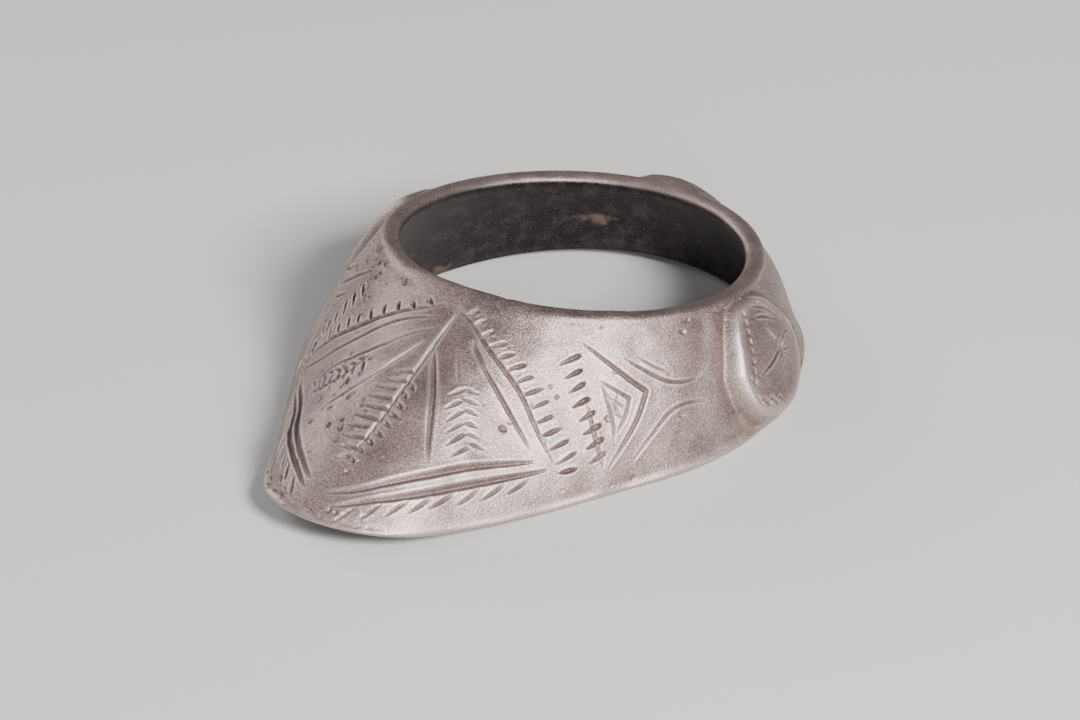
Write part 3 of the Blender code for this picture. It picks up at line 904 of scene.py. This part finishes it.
@dataclass
class ThumbRing:
    """The ring's own surface: one closed skin with its carving, wear and pits.

    A point has an angle and a way: 0 to 1 down the outer wall, 1 to 2 round the edge, 2 to 3
    across the underside, 3 to 4 up the inner wall and 4 to 5 over the rim.
    """

    form: RingForm = field(default_factory=RingForm)
    engraving: Engraving = field(default_factory=Engraving)
    wall_rows: int = 50
    edge_rows: int = 4
    under_rows: int = 2
    inner_rows: int = 13
    rim_rows: int = 7
    seam: float = -148.0
    fine_gaps: tuple[float, float] = (0.27, 0.06)
    fine_rims: tuple[float, float] = (0.36, 0.09)
    # Wavelength and height in millimetres, and number of sines, of the file's waves.
    waves: tuple[tuple[float, float, int], ...] = ((7.0, 0.04, 14), (2.6, 0.016, 18), (1.5, 0.007, 24))
    file_depth: float = 0.08
    # Groove and hollow round a boss: place and width in its half widths, depth in millimetres.
    boss_bells: tuple[tuple[float, float, float], ...] = ((1.08, 0.08, 0.09), (1.62, 0.2, 0.11))
    # Middle and spread in degrees, lowest and highest share, and number of the pits of an area.
    pit_areas: tuple[tuple[float, float, float, float, int], ...] = (
        (-5, 9, 0.88, 0.985, 50), (-48, 12, 0.02, 0.25, 60), (-14, 9, 0.3, 0.8, 80),
    )
    loose_pits: int = 60
    rim_pits: int = 40
    worn_middle: float = -6.0
    worn_spread: float = 15.0
    bite: float = 0.08
    # Millimetres worn off the rim's crown: everywhere, by the slow waves and by the nicks.
    rim_wear: tuple[float, float, float] = (0.025, 0.03, 0.06)
    # Columns a degree, middle and half width in degrees, and steepness of the carved stretches.
    stretches: tuple[tuple[float, float, float, int], ...] = (
        (1.06, 0, 34.0, 6), (0.85, 0, 75.0, 8), (0.75, 105, 30.0, 6),
    )
    plain_density: float = 0.5
    seed: int = 21

    def build(self) -> bpy.types.Object:
        """Makes the skin and its attributes.

        Returns:
            The finished object.
        """
        probe = Relief(self.form, np.zeros(1), np.full(1, 0.5))
        strokes = self.engraving.strokes(probe, self.form)
        pits = self.pits(np.random.default_rng(self.seed))
        LOG.info("engraving: %d strokes, %d pits", len(strokes), len(pits))
        mesh = self.refined_grid(self.columns(), self.rows(), strokes + pits)
        flat = vertex_places(mesh)
        theta, way = np.radians(flat[:, 0]), flat[:, 1]
        share = np.where(way <= 1, way, np.where(way < 3, 1.0, 0.0))
        relief = Relief(self.form, theta, share)
        outer = way <= 1
        for stroke in strokes + pits:
            relief.engrave(stroke)
        on_wall = relief.height() + self.hand_finish(relief)
        lift = np.where(outer, on_wall, relief.raised * self.carry(way))
        skin = self.section_points(theta, way) + relief.normal * lift[:, None]
        skin = self.worn_tip(skin, theta, way)
        skin[:, 2] = np.clip(skin[:, 2], 0, None)
        skin = skin * MM + axis_place(self.form)
        mesh.vertices.foreach_set("co", skin.astype(np.float32).ravel())
        mesh.update()
        mesh.shade_smooth()
        made = bpy.data.objects.new("ring_skin", mesh)
        bpy.context.scene.collection.objects.link(made)
        self.paint(made, relief, way)
        return made

    def columns(self) -> np.ndarray:
        """Angles of the grid's columns: close together where the carving is.

        Formula: the inverse of the running sum of a density of columns a degree.

        Returns:
            Angles in degrees, one turn from the seam.
        """
        degrees = np.linspace(self.seam, self.seam + 360, 3601)
        density = np.full(degrees.shape, self.plain_density)
        for most, middle, half, power in self.stretches:
            density = np.maximum(density, most * np.exp(-((degrees - middle) / half) ** power))
        run = np.concatenate([[0.0], np.cumsum((density[1:] + density[:-1]) / 20)])
        count = int(run[-1])
        return np.interp(np.arange(count) / count * run[-1], run, degrees)

    def rows(self) -> np.ndarray:
        """Ways of the grid's rows, round the whole section."""
        parts = (self.wall_rows, self.edge_rows, self.under_rows, self.inner_rows, self.rim_rows)
        return np.concatenate([k + np.arange(count) / count for k, count in enumerate(parts)])

    def refined_grid(self, columns: np.ndarray, rows: np.ndarray, marks: list[Stroke]) -> bpy.types.Mesh:
        """A grid of angle and way that closes both ways, split finer where a mark is near.

        Args:
            columns: Angles in degrees.
            rows: Ways round the section.
            marks: The strokes and pits.

        Returns:
            The mesh, with angle and way as its first two coordinates.
        """
        number = np.arange(len(rows) * len(columns)).reshape(len(rows), len(columns))
        below, beside = np.roll(number, -1, 0), np.roll(number, -1, 1)
        corner = np.roll(below, -1, 1)
        faces = np.stack([number, below, corner, beside], -1).reshape(-1, 4)
        angle, way = np.meshgrid(columns, rows)
        flat = np.stack([angle, way, np.zeros(angle.shape)], -1).reshape(-1, 3)
        mesh = bpy.data.meshes.new("ring_skin")
        mesh.from_pydata(flat, [], faces)
        for gap, boss_gap in zip(self.fine_gaps, self.fine_rims):
            self.split_near(mesh, marks, gap, boss_gap)
        LOG.info("grid: %d vertices, %d faces", len(mesh.vertices), len(mesh.polygons))
        return mesh

    def split_near(self, mesh: bpy.types.Mesh, marks: list[Stroke], gap: float, boss_gap: float) -> None:
        """Splits the wall's faces near a mark or a boss's outline, in two each way.

        A face that crosses the seam spans nearly a whole turn of angle, and is left as it is.

        Args:
            mesh: The grid of angle and way.
            marks: The strokes and pits.
            gap: Millimetres from a mark's edge.
            boss_gap: Distance from a boss's outline, in half widths of the boss.
        """
        flat = vertex_places(mesh)
        corners = np.empty(len(mesh.loops), np.int32)
        mesh.loops.foreach_get("vertex_index", corners)
        starts = np.empty(len(mesh.polygons), np.int32)
        mesh.polygons.foreach_get("loop_start", starts)
        low = np.minimum.reduceat(flat[corners], starts, axis=0)
        high = np.maximum.reduceat(flat[corners], starts, axis=0)
        middle = (low + high) / 2
        relief = Relief(self.form, np.radians(middle[:, 0]), np.clip(middle[:, 1], 0, 1))
        for mark in marks:
            relief.engrave(mark)
        plain = (high[:, 0] - low[:, 0] < 90) & (high[:, 1] <= 1.0001)
        bm = bmesh.new()
        bm.from_mesh(mesh)
        bm.faces.ensure_lookup_table()
        bm.edges.ensure_lookup_table()
        at_boss = np.abs(relief.boss_reach - 1.0) < boss_gap
        chosen = np.flatnonzero(((relief.gap < gap) | at_boss) & plain)
        numbers = sorted({edge.index for number in chosen for edge in bm.faces[number].edges})
        edges = [bm.edges[number] for number in numbers]
        bmesh.ops.subdivide_edges(bm, edges=edges, cuts=1, use_grid_fill=True)
        bm.to_mesh(mesh)
        bm.free()

    def carry(self, way: np.ndarray) -> np.ndarray:
        """How much of the wall's relief is carried over the edge and up the rim.

        Args:
            way: Ways round the section.

        Returns:
            Shares of the relief, 0 to 1.
        """
        over_edge = np.clip(1 - (way - 1) / 1.6, 0, 1)
        over_rim = np.clip(way - 4, 0, 1) ** 2
        return np.where(way < 3, over_edge, over_rim)

    def section_points(self, theta: np.ndarray, way: np.ndarray) -> np.ndarray:
        """Points of the plain section at each angle and way.

        Formula: Bezier curves for both walls and the rim, a quarter circle for the edge, and for the
        underside a line that rises with the cube of its share.

        Args:
            theta: Angles in radians.
            way: Ways round the section.

        Returns:
            Points in a last axis of three.
        """
        form = self.form
        outer, inner, rim = form.outer_curve(theta), form.inner_curve(theta), form.rim_curve(theta)
        ground = form.edge_height(theta)
        turn = np.pi / 2 * np.clip(way - 1, 0, 1)
        edge = (outer[3][0] - form.edge_round * (1 - np.cos(turn)),
                ground + form.edge_round * (1 - np.sin(turn)))
        start, across = outer[3][0] - form.edge_round, np.clip(way - 2, 0, 1)
        under = (start + (inner[3][0] - start) * across, ground + form.edge_round / 2 * across ** 3)
        parts = (
            bezier(outer, np.clip(way, 0, 1)), edge, under,
            bezier(inner, np.clip(4 - way, 0, 1)), bezier(rim, np.clip(way - 4, 0, 1)),
        )
        which = np.clip(np.ceil(way).astype(int) - 1, 0, 4)
        radius = np.choose(which, [part[0] for part in parts])
        height = np.choose(which, [part[1] for part in parts])
        return to_world(radius, height, theta)

    def hand_finish(self, relief: Relief) -> np.ndarray:
        """Low waves of a hand-filed casting, never above the form.

        Formula: sine waves of three lengths, lowered by the file's depth and cut off at 0, less two
        bells of distance to a boss, which leave a soft ridge between a groove and a hollow.

        Args:
            relief: The wall's relief.

        Returns:
            Heights off the wall, none above 0.
        """
        rng = np.random.default_rng(self.seed + 1)
        filed = np.full(relief.share.shape, -self.file_depth)
        for wavelength, height, count in self.waves:
            filed = filed + height * plane_waves(relief.base, wavelength, count, rng)
        fade = np.clip(relief.share / 0.04, 0, 1) * np.clip((1 - relief.share) / 0.03, 0, 1)
        hollow = np.zeros(relief.share.shape)
        for place, width, depth in self.boss_bells:
            hollow = hollow + depth * np.exp(-((relief.boss_reach - place) / width) ** 2)
        return (np.minimum(filed, 0) - hollow) * fade

    def worn_tip(self, skin: np.ndarray, theta: np.ndarray, way: np.ndarray) -> np.ndarray:
        """Eats into the tongue's lip with fast waves, and wears the rim down with slow ones.

        Args:
            skin: Points of the skin.
            theta: Angles in radians.
            way: Ways round the section.

        Returns:
            The worn points.
        """
        rng = np.random.default_rng(self.seed + 2)
        tip = np.exp(-(turn_from(np.degrees(theta), self.worn_middle) / self.worn_spread) ** 2)
        tip = tip * np.clip(1 - np.abs(way - 1) / 0.09, 0, 1)
        rough = np.clip(0.5 - plane_waves(skin, 0.8, 24, rng), 0, None)
        inwards = skin / np.linalg.norm(skin[:, :2], axis=1, keepdims=True)
        inwards[:, 2] = 0.4
        skin = skin - inwards * (self.bite * rough * tip)[:, None]
        rim = np.clip(1 - np.abs(way - 4.5) / 0.5, 0, 1)
        rim = np.where(way > 4, rim * rim * (3 - 2 * rim), 0)
        slow = np.clip(1.2 + plane_waves(skin, 4.5, 16, rng), 0, 2.4)
        nick = np.clip(plane_waves(skin, 0.9, 24, rng) - 0.9, 0, None)
        evenly, slowly, nicked = self.rim_wear
        skin[:, 2] -= rim * (evenly + slowly * slow + nicked * nick)
        return skin

    def pits(self, rng: np.random.Generator) -> list[Stroke]:
        """Small round casting pits, thickest at the tip, on the left shoulder and by the ears.

        Args:
            rng: Source of their places and sizes.

        Returns:
            The pits, as punched strokes.
        """
        places = [(rng.uniform(-180, 180), rng.uniform(0.03, 0.97)) for _ in range(self.loose_pits)]
        for middle, spread, low, high, count in self.pit_areas:
            places += [(rng.normal(middle, spread), rng.uniform(low, high)) for _ in range(count)]
        places += [(rng.uniform(-150, -30), rng.uniform(0.01, 0.12)) for _ in range(self.rim_pits)]
        marks = []
        for angle, share in places:
            size = 0.13 + 0.2 * rng.uniform(0, 1) ** 2
            route = [(angle, share - 0.003), (angle + rng.uniform(-0.4, 0.4), share + 0.003)]
            marks.append(Stroke(route, size, size * rng.uniform(0.25, 0.45), Cut.DOT))
        return marks

    def paint(self, made: bpy.types.Object, relief: Relief, way: np.ndarray) -> None:
        """Writes what the material reads: how sunk, worn, earthy and far inside each point is, with painted
        shade in the cuts and at the bosses' feet and painted highlight on edges, the lip and the back of
        the rim.

        Args:
            made: The finished skin.
            relief: The wall's relief at the same points.
            way: Ways round the section.
        """
        outer = way <= 1
        # Darkening in the cuts, by how sunk they are, is partly tarnish and partly painted shade; the
        # groove round each boss's foot gets it too, as painted shade.
        foot = np.exp(-((relief.boss_reach - 1.06) / 0.07) ** 2)
        sunk_tarnish_and_shade = np.maximum(np.clip(relief.sunk / 0.12, 0, 1), 0.7 * foot)
        # Pale marks on burrs, the bosses' crests and the lip: partly wear and partly painted highlight.
        crest_wear_and_highlight = np.exp(-((relief.boss_reach - 0.84) / 0.1) ** 2)
        lip = np.clip((relief.share - 0.93) / 0.07, 0, 1)
        wear_and_highlight = np.maximum.reduce([relief.burr / 0.02, crest_wear_and_highlight, lip * 0.9])
        # The lower edge's round is pale all round, and the rim is paler towards the back and plain at the
        # front: painted highlight, with some wear on the edge.
        back_rim_highlight = 0.25 - 0.25 * np.cos(relief.theta)
        wear_and_highlight = np.where(outer, wear_and_highlight, np.where(way < 2, 0.9, np.where(way > 4, back_rim_highlight, 0)))
        inside = np.where(way < 2, 0, np.where(way < 4, 1, np.clip(1 - (way - 4) * 3.5, 0, 1)))
        low_foot = np.clip((relief.share - 0.5) / 0.25, 0, 1) * outer
        earth = np.exp(-((relief.boss_reach - 1.12) / 0.1) ** 2) * low_foot
        write_attribute(made, "sunk_tarnish_and_shade", np.where(outer, sunk_tarnish_and_shade, 0))
        write_attribute(made, "wear_and_highlight", np.clip(wear_and_highlight, 0, 1))
        write_attribute(made, "inside", inside)
        write_attribute(made, "earth", earth)


def vertex_places(mesh: bpy.types.Mesh) -> np.ndarray:
    """Reads a mesh's vertex coordinates.

    Args:
        mesh: The mesh.

    Returns:
        The coordinates, in three columns.
    """
    flat = np.empty(len(mesh.vertices) * 3, np.float32)
    mesh.vertices.foreach_get("co", flat)
    return flat.astype(float).reshape(-1, 3)


def axis_place(form: RingForm) -> np.ndarray:
    """Where the thumb hole's axis meets the floor, in metres.

    Formula: the middle of the CAD node's box less the middle of the form's own box.

    Args:
        form: The cast form.

    Returns:
        The point in the frame.
    """
    theta = np.radians(np.arange(-180, 180, 0.5))[None, :]
    share = np.linspace(0, 1, 60)[:, None]
    height = form.boss_shape(theta, share)[0]
    points = form.wall(theta, share) + form.wall_normal(theta, share) * height[..., None]
    points = points.reshape(-1, 3) * MM
    low, high = np.array(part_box(NODE)[0]), np.array(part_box(NODE)[1])
    shift = (low + high) / 2 - (points.min(0) + points.max(0)) / 2
    return np.array([shift[0], shift[1], low[2]])


def write_attribute(made: bpy.types.Object, name: str, values: np.ndarray) -> None:
    """Stores one number a vertex under a name that the material reads."""
    attribute = made.data.attributes.new(name, "FLOAT", "POINT")
    attribute.data.foreach_set("value", np.ascontiguousarray(values, dtype=np.float32).ravel())


def linear(hex_colour: str) -> Colour:
    """An sRGB hex colour as linear light.

    Args:
        hex_colour: A colour such as #94807B.

    Returns:
        Red, green, blue and alpha.
    """
    parts = [int(hex_colour[k:k + 2], 16) / 255 for k in (1, 3, 5)]
    red, green, blue = (p / 12.92 if p <= 0.04045 else ((p + 0.055) / 1.055) ** 2.4 for p in parts)
    return red, green, blue, 1.0


def add_node(tree: Tree, kind: str, settings: dict | None = None,
             **inputs: Socket | Colour | float) -> bpy.types.Node:
    """Adds a node with its settings and links.

    Args:
        tree: The node tree.
        kind: The node's type.
        settings: Values of the node's own properties.
        **inputs: Socket values or output sockets to link, by socket name with _ for a space, or
            by number as in0, in1 and so on.

    Returns:
        The node.
    """
    node = tree.nodes.new(kind)
    for name, value in (settings or {}).items():
        setattr(node, name, value)
    for name, value in inputs.items():
        key = int(name[2:]) if name[:2] == "in" and name[2:].isdigit() else name.replace("_", " ")
        socket = node.inputs[key]
        if isinstance(value, bpy.types.NodeSocket):
            tree.links.new(value, socket)
        else:
            socket.default_value = value
    return node


@dataclass(frozen=True)
class TonedSilver:
    """Cast silver alloy, filed, engraved and toned by age: a satin grey-brown metal.

    Its tarnish is thick in the cuts and inside the band, darkened further there by painted shade, and worn
    through on edges and burrs, which also carry painted highlight, as do the lip and the back of the rim.
    """

    # Pale colour of worn peaks and edges, which also paints highlight on edges, the lip and the back of the
    # rim.
    rubbed_and_highlight: str = "#CDB9B6"
    toned: str = "#94807B"
    dark: str = "#5C504D"
    # Colour of the cuts and the bosses' feet: tarnish and painted shade.
    cut: str = "#4A3F3D"
    earth: str = "#9C8776"
    # The inside's near-black and smoky colours: tarnish and painted shade of the band's hollow.
    inner: str = "#252023"
    smoke: str = "#433A3C"
    cloud_mm: float = 6.0
    mottle_mm: float = 1.1
    # The metal's own grain is finer than a pixel, so it is drawn as coarse as it needs to show.
    grain_mm: float = 0.11
    pore_mm: float = 0.45
    grain_height_mm: float = 0.05
    pore_depth_mm: float = 0.04

    def make(self) -> bpy.types.Material:
        """Builds the node material.

        Returns:
            The material.
        """
        material = bpy.data.materials.new("toned_cast_silver")
        material.use_nodes = True
        tree = material.node_tree
        shader = tree.nodes["Principled BSDF"]
        place = add_node(tree, "ShaderNodeTexCoord").outputs["Object"]
        clouds = self.noise(tree, place, self.cloud_mm, 4)
        mottle = self.noise(tree, place, self.mottle_mm, 5)
        grain = self.noise(tree, place, self.grain_mm, 3)
        sunk_tarnish_and_shade = self.attribute(tree, "sunk_tarnish_and_shade")
        outer = self.outer_tone(tree, clouds, mottle, grain, sunk_tarnish_and_shade)
        inner = self.inside_tarnish_and_shade(tree, clouds, mottle, grain)
        # The inside of the band turns near-black: tarnish and painted shade.
        tone = self.mix(tree, self.attribute(tree, "inside"), outer, inner)
        tree.links.new(tone, shader.inputs["Base Color"])
        tree.links.new(self.roughness(tree, mottle, sunk_tarnish_and_shade), shader.inputs["Roughness"])
        tree.links.new(self.surface(tree, place, grain), shader.inputs["Normal"])
        # Tarnish dulls the mirror, so a little of the surface isn't metal.
        shader.inputs["Metallic"].default_value = 0.85
        return material

    def outer_tone(self, tree: Tree, clouds: Socket, mottle: Socket, grain: Socket,
                   sunk_tarnish_and_shade: Socket) -> Socket:
        """The outside's colour, from the widest layer to the finest.

        Args:
            tree: The node tree.
            clouds: Noise of several millimetres.
            mottle: Noise of about a millimetre.
            grain: Noise as fine as the casting's grain.
            sunk_tarnish_and_shade: How sunk a point is.

        Returns:
            The colour.
        """
        # Clouds: broad stretches where the tarnish lies thicker and the metal looks darker.
        tone = self.mix(tree, self.spread(tree, clouds, 0.3, 0.56), linear(self.dark), linear(self.toned))
        # Mottle: handling has thinned the tarnish in patches, which breaks the clouds up.
        tone = self.mix(tree, self.spread(tree, mottle, 0.42, 0.68), tone, linear(self.toned))
        # Grain: tiny rubbed peaks that sparkle, and dark pores between them.
        bright = self.scaled(tree, self.spread(tree, grain, 0.5, 0.68), 0.6)
        tone = self.mix(tree, bright, tone, linear(self.rubbed_and_highlight))
        specks = self.scaled(tree, self.spread(tree, grain, 0.5, 0.34), 0.6)
        tone = self.mix(tree, specks, tone, linear(self.dark))
        # Wear and painted highlight: burrs, bevels, the lip, the lower edge and the back of the rim are
        # painted pale, partly rubbing and partly highlight, which draws their edges.
        wear_and_highlight = self.scaled(tree, self.attribute(tree, "wear_and_highlight"), 0.6)
        tone = self.mix(tree, wear_and_highlight, tone, linear(self.rubbed_and_highlight))
        # Cuts and the bosses' feet: darkened, partly tarnish that stays in them and partly painted shade,
        # so that the strokes read dark.
        tone = self.mix(tree, self.scaled(tree, sunk_tarnish_and_shade, 0.48), tone, linear(self.cut))
        # Earth: tan soil held at the foot of each boss, in patches.
        held = self.attribute(tree, "earth")
        patch = add_node(tree, "ShaderNodeMath", {"operation": "MULTIPLY"}, in0=held,
                         in1=self.spread(tree, mottle, 0.45, 0.55)).outputs[0]
        return self.mix(tree, self.scaled(tree, patch, 0.8), tone, linear(self.earth))

    def inside_tarnish_and_shade(self, tree: Tree, clouds: Socket, mottle: Socket, grain: Socket) -> Socket:
        """The inside's colour: nearly black tarnish and painted shade, with smoky mottle, grey specks and a
        little soil.

        Args:
            tree: The node tree.
            clouds: Noise of several millimetres.
            mottle: Noise of about a millimetre.
            grain: Noise as fine as the casting's grain.

        Returns:
            The colour.
        """
        smoky = self.spread(tree, mottle, 0.46, 0.66)
        tone = self.mix(tree, smoky, linear(self.inner), linear(self.smoke))
        tone = self.mix(tree, self.spread(tree, grain, 0.54, 0.72), tone, linear(self.dark))
        soil = self.scaled(tree, self.spread(tree, clouds, 0.66, 0.72), 0.45)
        return self.mix(tree, soil, tone, linear(self.earth))

    def roughness(self, tree: Tree, mottle: Socket, sunk_tarnish_and_shade: Socket) -> Socket:
        """Satin that varies with the mottle and is duller in the cuts.

        Args:
            tree: The node tree.
            mottle: Noise of about a millimetre.
            sunk_tarnish_and_shade: How sunk a point is.

        Returns:
            The roughness.
        """
        satin = add_node(tree, "ShaderNodeMapRange", None, Value=mottle, To_Min=0.36, To_Max=0.54)
        return add_node(tree, "ShaderNodeMath", {"operation": "MULTIPLY_ADD"}, in0=sunk_tarnish_and_shade, in1=0.15,
                        in2=satin.outputs[0]).outputs[0]

    def surface(self, tree: Tree, place: Socket, grain: Socket) -> Socket:
        """The casting's skin: fine grain with small pores, which breaks up the highlights.

        Args:
            tree: The node tree.
            place: Object coordinates.
            grain: Noise as fine as the casting's grain.

        Returns:
            The normal.
        """
        fine = add_node(tree, "ShaderNodeBump", None, Strength=0.65, Distance=self.grain_height_mm * MM,
                        Height=grain)
        pores = add_node(tree, "ShaderNodeTexVoronoi", None, Vector=place, Scale=1 / (self.pore_mm * MM))
        holes = self.spread(tree, pores.outputs["Distance"], 0.0, 0.3)
        return add_node(tree, "ShaderNodeBump", None, Strength=0.25, Distance=self.pore_depth_mm * MM,
                        Height=holes, Normal=fine.outputs[0]).outputs[0]

    def attribute(self, tree: Tree, name: str) -> Socket:
        """A number that the skin carries at each vertex."""
        return add_node(tree, "ShaderNodeAttribute", {"attribute_name": name}).outputs["Fac"]

    def noise(self, tree: Tree, place: Socket, size_mm: float, detail: float) -> Socket:
        """Noise whose features are about a size in millimetres."""
        return add_node(tree, "ShaderNodeTexNoise", None, Vector=place, Scale=1 / (size_mm * MM),
                        Detail=detail, Roughness=0.6).outputs["Fac"]

    def spread(self, tree: Tree, value: Socket, low: float, high: float) -> Socket:
        """A value stretched from low and high to 0 and 1."""
        return add_node(tree, "ShaderNodeMapRange", None, Value=value, From_Min=low,
                        From_Max=high).outputs[0]

    def scaled(self, tree: Tree, value: Socket, amount: float) -> Socket:
        """A value times an amount."""
        return add_node(tree, "ShaderNodeMath", {"operation": "MULTIPLY"}, in0=value, in1=amount).outputs[0]

    def mix(self, tree: Tree, share: Socket, first: Socket | Colour, second: Socket | Colour) -> Socket:
        """First colour turning into the second with the share."""
        return add_node(tree, "ShaderNodeMix", {"data_type": "RGBA"}, Factor=share, in6=first,
                        in7=second).outputs[2]


@dataclass(frozen=True)
class MattPaper:
    """Matt off-white paper: an even pale ground without highlights."""

    colour: str = "#CFCDCA"
    roughness: float = 0.85

    def make(self) -> bpy.types.Material:
        """Builds the material.

        Returns:
            The material.
        """
        material = bpy.data.materials.new("matt_paper")
        material.use_nodes = True
        shader = material.node_tree.nodes["Principled BSDF"]
        shader.inputs["Base Color"].default_value = linear(self.colour)
        shader.inputs["Roughness"].default_value = self.roughness
        return material


@dataclass
class Studio:
    """Plain pale floor, soft lights and the photograph's camera.

    The camera's angles are degrees, its distance and aim height millimetres and its aim pixels of
    the photograph. The sensor is millimetres, and floor and lights are metres.
    """

    elevation: float = 29.56
    azimuth: float = 36.18
    distance: float = 335.5
    pixels_per_mm: float = 15.805
    aim_u: float = 563.12
    aim_v: float = 301.72
    aim_height: float = 5.0
    sensor: float = 36.0
    floor_half: float = 0.9
    floor_gap: float = 0.00002
    light_distance: float = 0.45
    sky: str = "#BFC0C2"
    sky_strength: float = 0.13

    def directions(self) -> tuple[np.ndarray, np.ndarray, np.ndarray]:
        """Unit vectors of the camera's own axes.

        Returns:
            To the camera, to its right and up.
        """
        e, a = np.radians(self.elevation), np.radians(self.azimuth)
        back = np.array([np.sin(a) * np.cos(e), -np.cos(a) * np.cos(e), np.sin(e)])
        right = np.array([np.cos(a), np.sin(a), 0.0])
        return back, right, np.cross(back, right)

    def camera(self, axis: np.ndarray) -> bpy.types.Object:
        """The camera at the photograph's viewing angle.

        Args:
            axis: Where the thumb hole's axis meets the floor, in metres.

        Returns:
            The camera object.
        """
        back, right, up = self.directions()
        focal = self.pixels_per_mm * self.distance
        du, dv = (self.aim_u - PHOTO_WIDTH / 2) / focal, -(self.aim_v - PHOTO_HEIGHT / 2) / focal
        aim = np.array([0.0, 0.0, self.aim_height]) * MM + axis
        data = bpy.data.cameras.new("photo_camera")
        data.sensor_width = self.sensor
        data.lens = focal * self.sensor / PHOTO_WIDTH
        data.clip_start, data.clip_end = 0.01, 10.0
        camera = bpy.data.objects.new("photo_camera", data)
        turn = Matrix(np.column_stack([right, up, back]).tolist()).to_4x4()
        place = aim + self.distance * MM * (back - du * right - dv * up)
        camera.matrix_world = Matrix.Translation(Vector(place)) @ turn
        bpy.context.scene.collection.objects.link(camera)
        bpy.context.scene.camera = camera
        return camera

    def floor(self) -> bpy.types.Object:
        """A plain pale floor, a hair below the ring.

        Returns:
            The floor object.
        """
        half = self.floor_half
        mesh = bpy.data.meshes.new("floor")
        corners = [(-half, -half, 0), (half, -half, 0), (half, half, 0), (-half, half, 0)]
        mesh.from_pydata(corners, [], [(0, 1, 2, 3)])
        mesh.materials.append(MattPaper().make())
        made = bpy.data.objects.new("floor", mesh)
        made.location.z = -self.floor_gap
        bpy.context.scene.collection.objects.link(made)
        return made

    def light(self, name: str, azimuth: float, elevation: float, watts: float, size: float) -> None:
        """A square soft box that looks at the ring.

        Args:
            name: The light's name.
            azimuth: Degrees round the ring from the camera, positive to the camera's right.
            elevation: Degrees above the floor.
            watts: Power.
            size: Side in metres.
        """
        a, e = np.radians(self.azimuth + azimuth), np.radians(elevation)
        away = Vector((np.sin(a) * np.cos(e), -np.cos(a) * np.cos(e), np.sin(e)))
        data = bpy.data.lights.new(name, "AREA")
        data.energy, data.size = watts, size
        made = bpy.data.objects.new(name, data)
        made.location = away * self.light_distance
        made.rotation_mode = "QUATERNION"
        made.rotation_quaternion = away.to_track_quat("Z", "Y")
        bpy.context.scene.collection.objects.link(made)

    def lights(self) -> None:
        """Key in front on the right, weaker boxes on the left, behind and in front, and a dim sky."""
        self.light("key_box", 34, 34, 4.8, 0.13)
        self.light("left_box", -80, 42, 0.35, 0.2)
        self.light("back_box", -135, 27, 0.75, 0.18)
        self.light("front_box", -4, 22, 0.6, 0.12)
        world = bpy.data.worlds.new("studio")
        world.use_nodes = True
        background = world.node_tree.nodes["Background"]
        background.inputs["Color"].default_value = linear(self.sky)
        background.inputs["Strength"].default_value = self.sky_strength
        bpy.context.scene.world = world


def main() -> None:
    """Builds the studio and the ring, and hands the ring to the frame."""
    logging.basicConfig(level=logging.INFO, format="%(name)s: %(message)s")
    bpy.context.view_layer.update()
    studio = Studio()
    ring = ThumbRing()
    skin = ring.build()
    skin.data.materials.append(TonedSilver().make())
    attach(skin, "root")
    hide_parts(NODE)
    LOG.info("%s: %d vertices, %d faces", skin.name, len(skin.data.vertices), len(skin.data.polygons))
    studio.camera(axis_place(ring.form))
    studio.lights()
    studio.floor()


if __name__ == "__main__":
    main()
